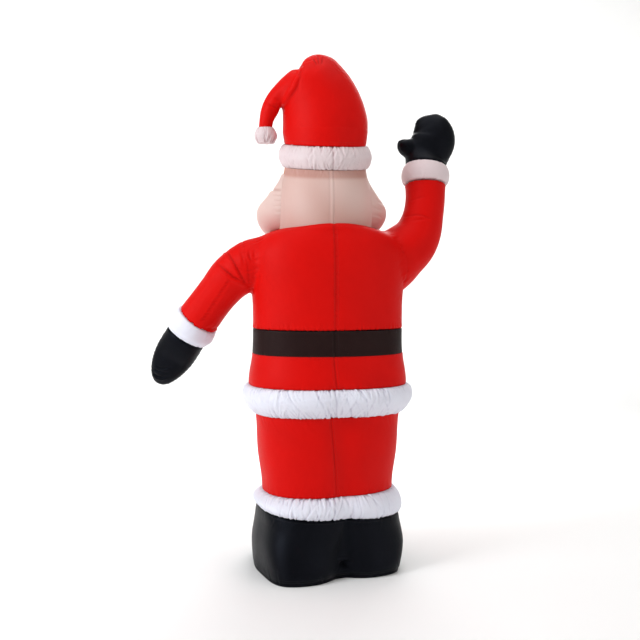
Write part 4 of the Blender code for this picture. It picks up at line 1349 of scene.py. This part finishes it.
def make_front(white, gold, belt_black):
    """The strips down the coat's front, and the buckle with its dark middle."""
    trim = (FRONT_TRIM_WIDTH, FRONT_TRIM_PUFF, 0.0, white, "white_cloth")
    buckle = (BUCKLE_WIDTH, BUCKLE_PUFF, 0.0, gold, "gold_cloth")
    window = (0.100, 0.004, BUCKLE_PUFF, belt_black, "belt_cloth")
    beard_bottom = COAT_TOP + BEARD_STATIONS[0][0]
    for name, low, high, margin, seed, (width, most, lift, cloth, slot), nodes in (
        ("front_trim_lower", HEM_TOP, SKIRT_TOP, TRIM_MARGIN, 91, trim, ["front_trim_lower"]),
        ("front_trim_upper", BELT_TOP, beard_bottom, TRIM_MARGIN, 92, trim, ["front_trim_upper"]),
        ("belt_buckle", SKIRT_TOP, BELT_TOP, TRIM_MARGIN, 93, buckle, ["belt_buckle"]),
        ("buckle_window", SKIRT_TOP, BELT_TOP, 0.032, 94, window, []),
    ):
        form = front_pad(low + margin, high - margin, width, most, seed, lift)
        piece = new_piece(f"{name}_cloth", form, cloth)
        face_out(piece)
        dress(piece, slot, *nodes)


# The studio

# Floor: radius of the flat part, radius of the curve upwards, height of the rim, sides
FLOOR_RADIUS = 5.8
FLOOR_CURVE = 3.0
FLOOR_RIM = 5.5
FLOOR_SIDES = 96
WORLD_LIGHT = 0.24

# Lamps: name, place, what it points at, size, power and colour
CHEST = (0, 0, 1.2)
LAMPS = (
    ("key", (4.6, 1.9, 3.2), CHEST, 2.0, 158.0, (0.95, 0.97, 1.0)),
    ("fill", (-3.2, 3.4, 2.0), CHEST, 2.6, 24.0, (1.0, 0.95, 0.93)),
    ("overhead", (0.0, 0.5, 5.6), (0, 0, 0), 5.0, 125.0, (1.0, 1.0, 1.0)),
    ("backdrop", (0.0, -3.2, 4.6), (0, -6, 2.6), 5.0, 300.0, (1.0, 1.0, 1.0)),
    ("front", (-0.8, -2.6, 3.2), CHEST, 2.0, 60.0, (1.0, 1.0, 1.0)),
)


def make_studio():
    """A pale round floor that curves up far away, and soft light from the picture's left."""
    profile = [(2.5, 0.0), (FLOOR_RADIUS, 0.0)]
    for a in np.linspace(0.1, math.pi / 2, 16):
        rise = FLOOR_CURVE - FLOOR_CURVE * math.cos(a)
        profile.append((FLOOR_RADIUS + FLOOR_CURVE * math.sin(a), rise))
    profile.append((FLOOR_RADIUS + FLOOR_CURVE, FLOOR_RIM))
    points = [(r * math.cos(a), r * math.sin(a), z) for r, z in profile for a in turns(FLOOR_SIDES)]
    faces = []
    for i in range(len(profile) - 1):
        low, high = FLOOR_SIDES * i, FLOOR_SIDES * (i + 1)
        for j in range(FLOOR_SIDES):
            after = (j + 1) % FLOOR_SIDES
            faces.append((high + j, high + after, low + after, low + j))
    faces.append(tuple(range(FLOOR_SIDES)))
    floor = new_mesh("studio_floor", points, [], faces)
    floor.data.shade_smooth()
    floor.data.materials.append(floor_material())
    world = bpy.data.worlds.new("studio light")
    bpy.context.scene.world = world
    world.use_nodes = True
    background = world.node_tree.nodes["Background"]
    background.inputs["Color"].default_value = (1.0, 1.0, 1.0, 1.0)
    background.inputs["Strength"].default_value = WORLD_LIGHT
    for name, place, aim, size, power, colour in LAMPS:
        light = bpy.data.lights.new(name, "AREA")
        light.energy = power
        light.size = size
        light.color = colour
        lamp = linked(name, light)
        lamp.location = place
        lamp.rotation_euler = (Vector(aim) - Vector(place)).to_track_quat("-Z", "Y").to_euler()
    bpy.context.scene.view_settings.view_transform = "Standard"


def make_camera():
    camera = bpy.data.cameras.new("camera")
    camera.lens = CAMERA_LENS
    camera.sensor_width = SENSOR_WIDTH
    seen = linked("camera", camera)
    place = Vector(CAMERA_PLACE)
    bearing = math.atan2(-place.y, -place.x) + math.radians(CAMERA_YAW_DEG)
    pitch = math.radians(CAMERA_PITCH_DEG)
    level = math.cos(pitch)
    ahead = Vector((math.cos(bearing) * level, math.sin(bearing) * level, -math.sin(pitch)))
    right = ahead.cross(Vector((0, 0, 1))).normalized()
    up = right.cross(ahead)
    turn = Matrix((right, up, -ahead)).transposed().to_4x4()
    seen.matrix_world = Matrix.Translation(place) @ turn
    bpy.context.scene.camera = seen


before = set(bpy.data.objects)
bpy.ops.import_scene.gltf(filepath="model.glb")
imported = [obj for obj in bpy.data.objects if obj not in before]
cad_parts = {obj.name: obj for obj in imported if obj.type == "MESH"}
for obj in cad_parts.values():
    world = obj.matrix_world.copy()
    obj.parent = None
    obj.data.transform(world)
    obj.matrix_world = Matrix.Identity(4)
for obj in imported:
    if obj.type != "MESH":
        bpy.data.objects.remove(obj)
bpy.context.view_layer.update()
make_camera()
red = coated_cloth("red coated polyester taffeta", RED, 0.54, shine=0.10)
white = coated_cloth("white coated polyester taffeta", WHITE, glow=0.12)
# Painted light: the white cloth again, tinted pink for light from the red cloth that shines through it
white_with_painted_red_glow = coated_cloth("white coated polyester taffeta over red", PINKISH_WHITE, glow=0.12)
hair = coated_cloth("off-white coated polyester taffeta", HAIR_WHITE, glow=0.15)
bluish = (0.66, 0.75, 1.0, 1.0)
black = coated_cloth("black coated polyester taffeta", BLACK, 0.42, shine=0.11, tint=bluish)
belt_black = coated_cloth("brownish black coated polyester taffeta", BELT_BLACK, 0.55, shine=0.1)
skin = coated_cloth("skin-toned coated polyester taffeta", SKIN, sheen=0.10, glow=0.2)
gold = coated_cloth("golden yellow coated polyester taffeta", GOLD, 0.45, sheen=0.10)
make_boots(black)
make_trims(white, white_with_painted_red_glow)
make_panels(red, belt_black)
make_coat(red)
make_cuffs_and_mittens(white, white_with_painted_red_glow, black)
half_head("head_back", hair, "hair_cloth", 81)
half_head("face", skin, "skin_cloth", 83)
make_beard(hair)
make_face(white, skin, black)
make_hat(red, white_with_painted_red_glow)
make_front(white, gold, belt_black)
for colour in SEAM_LINES:
    lay_stitches(colour)
make_studio()
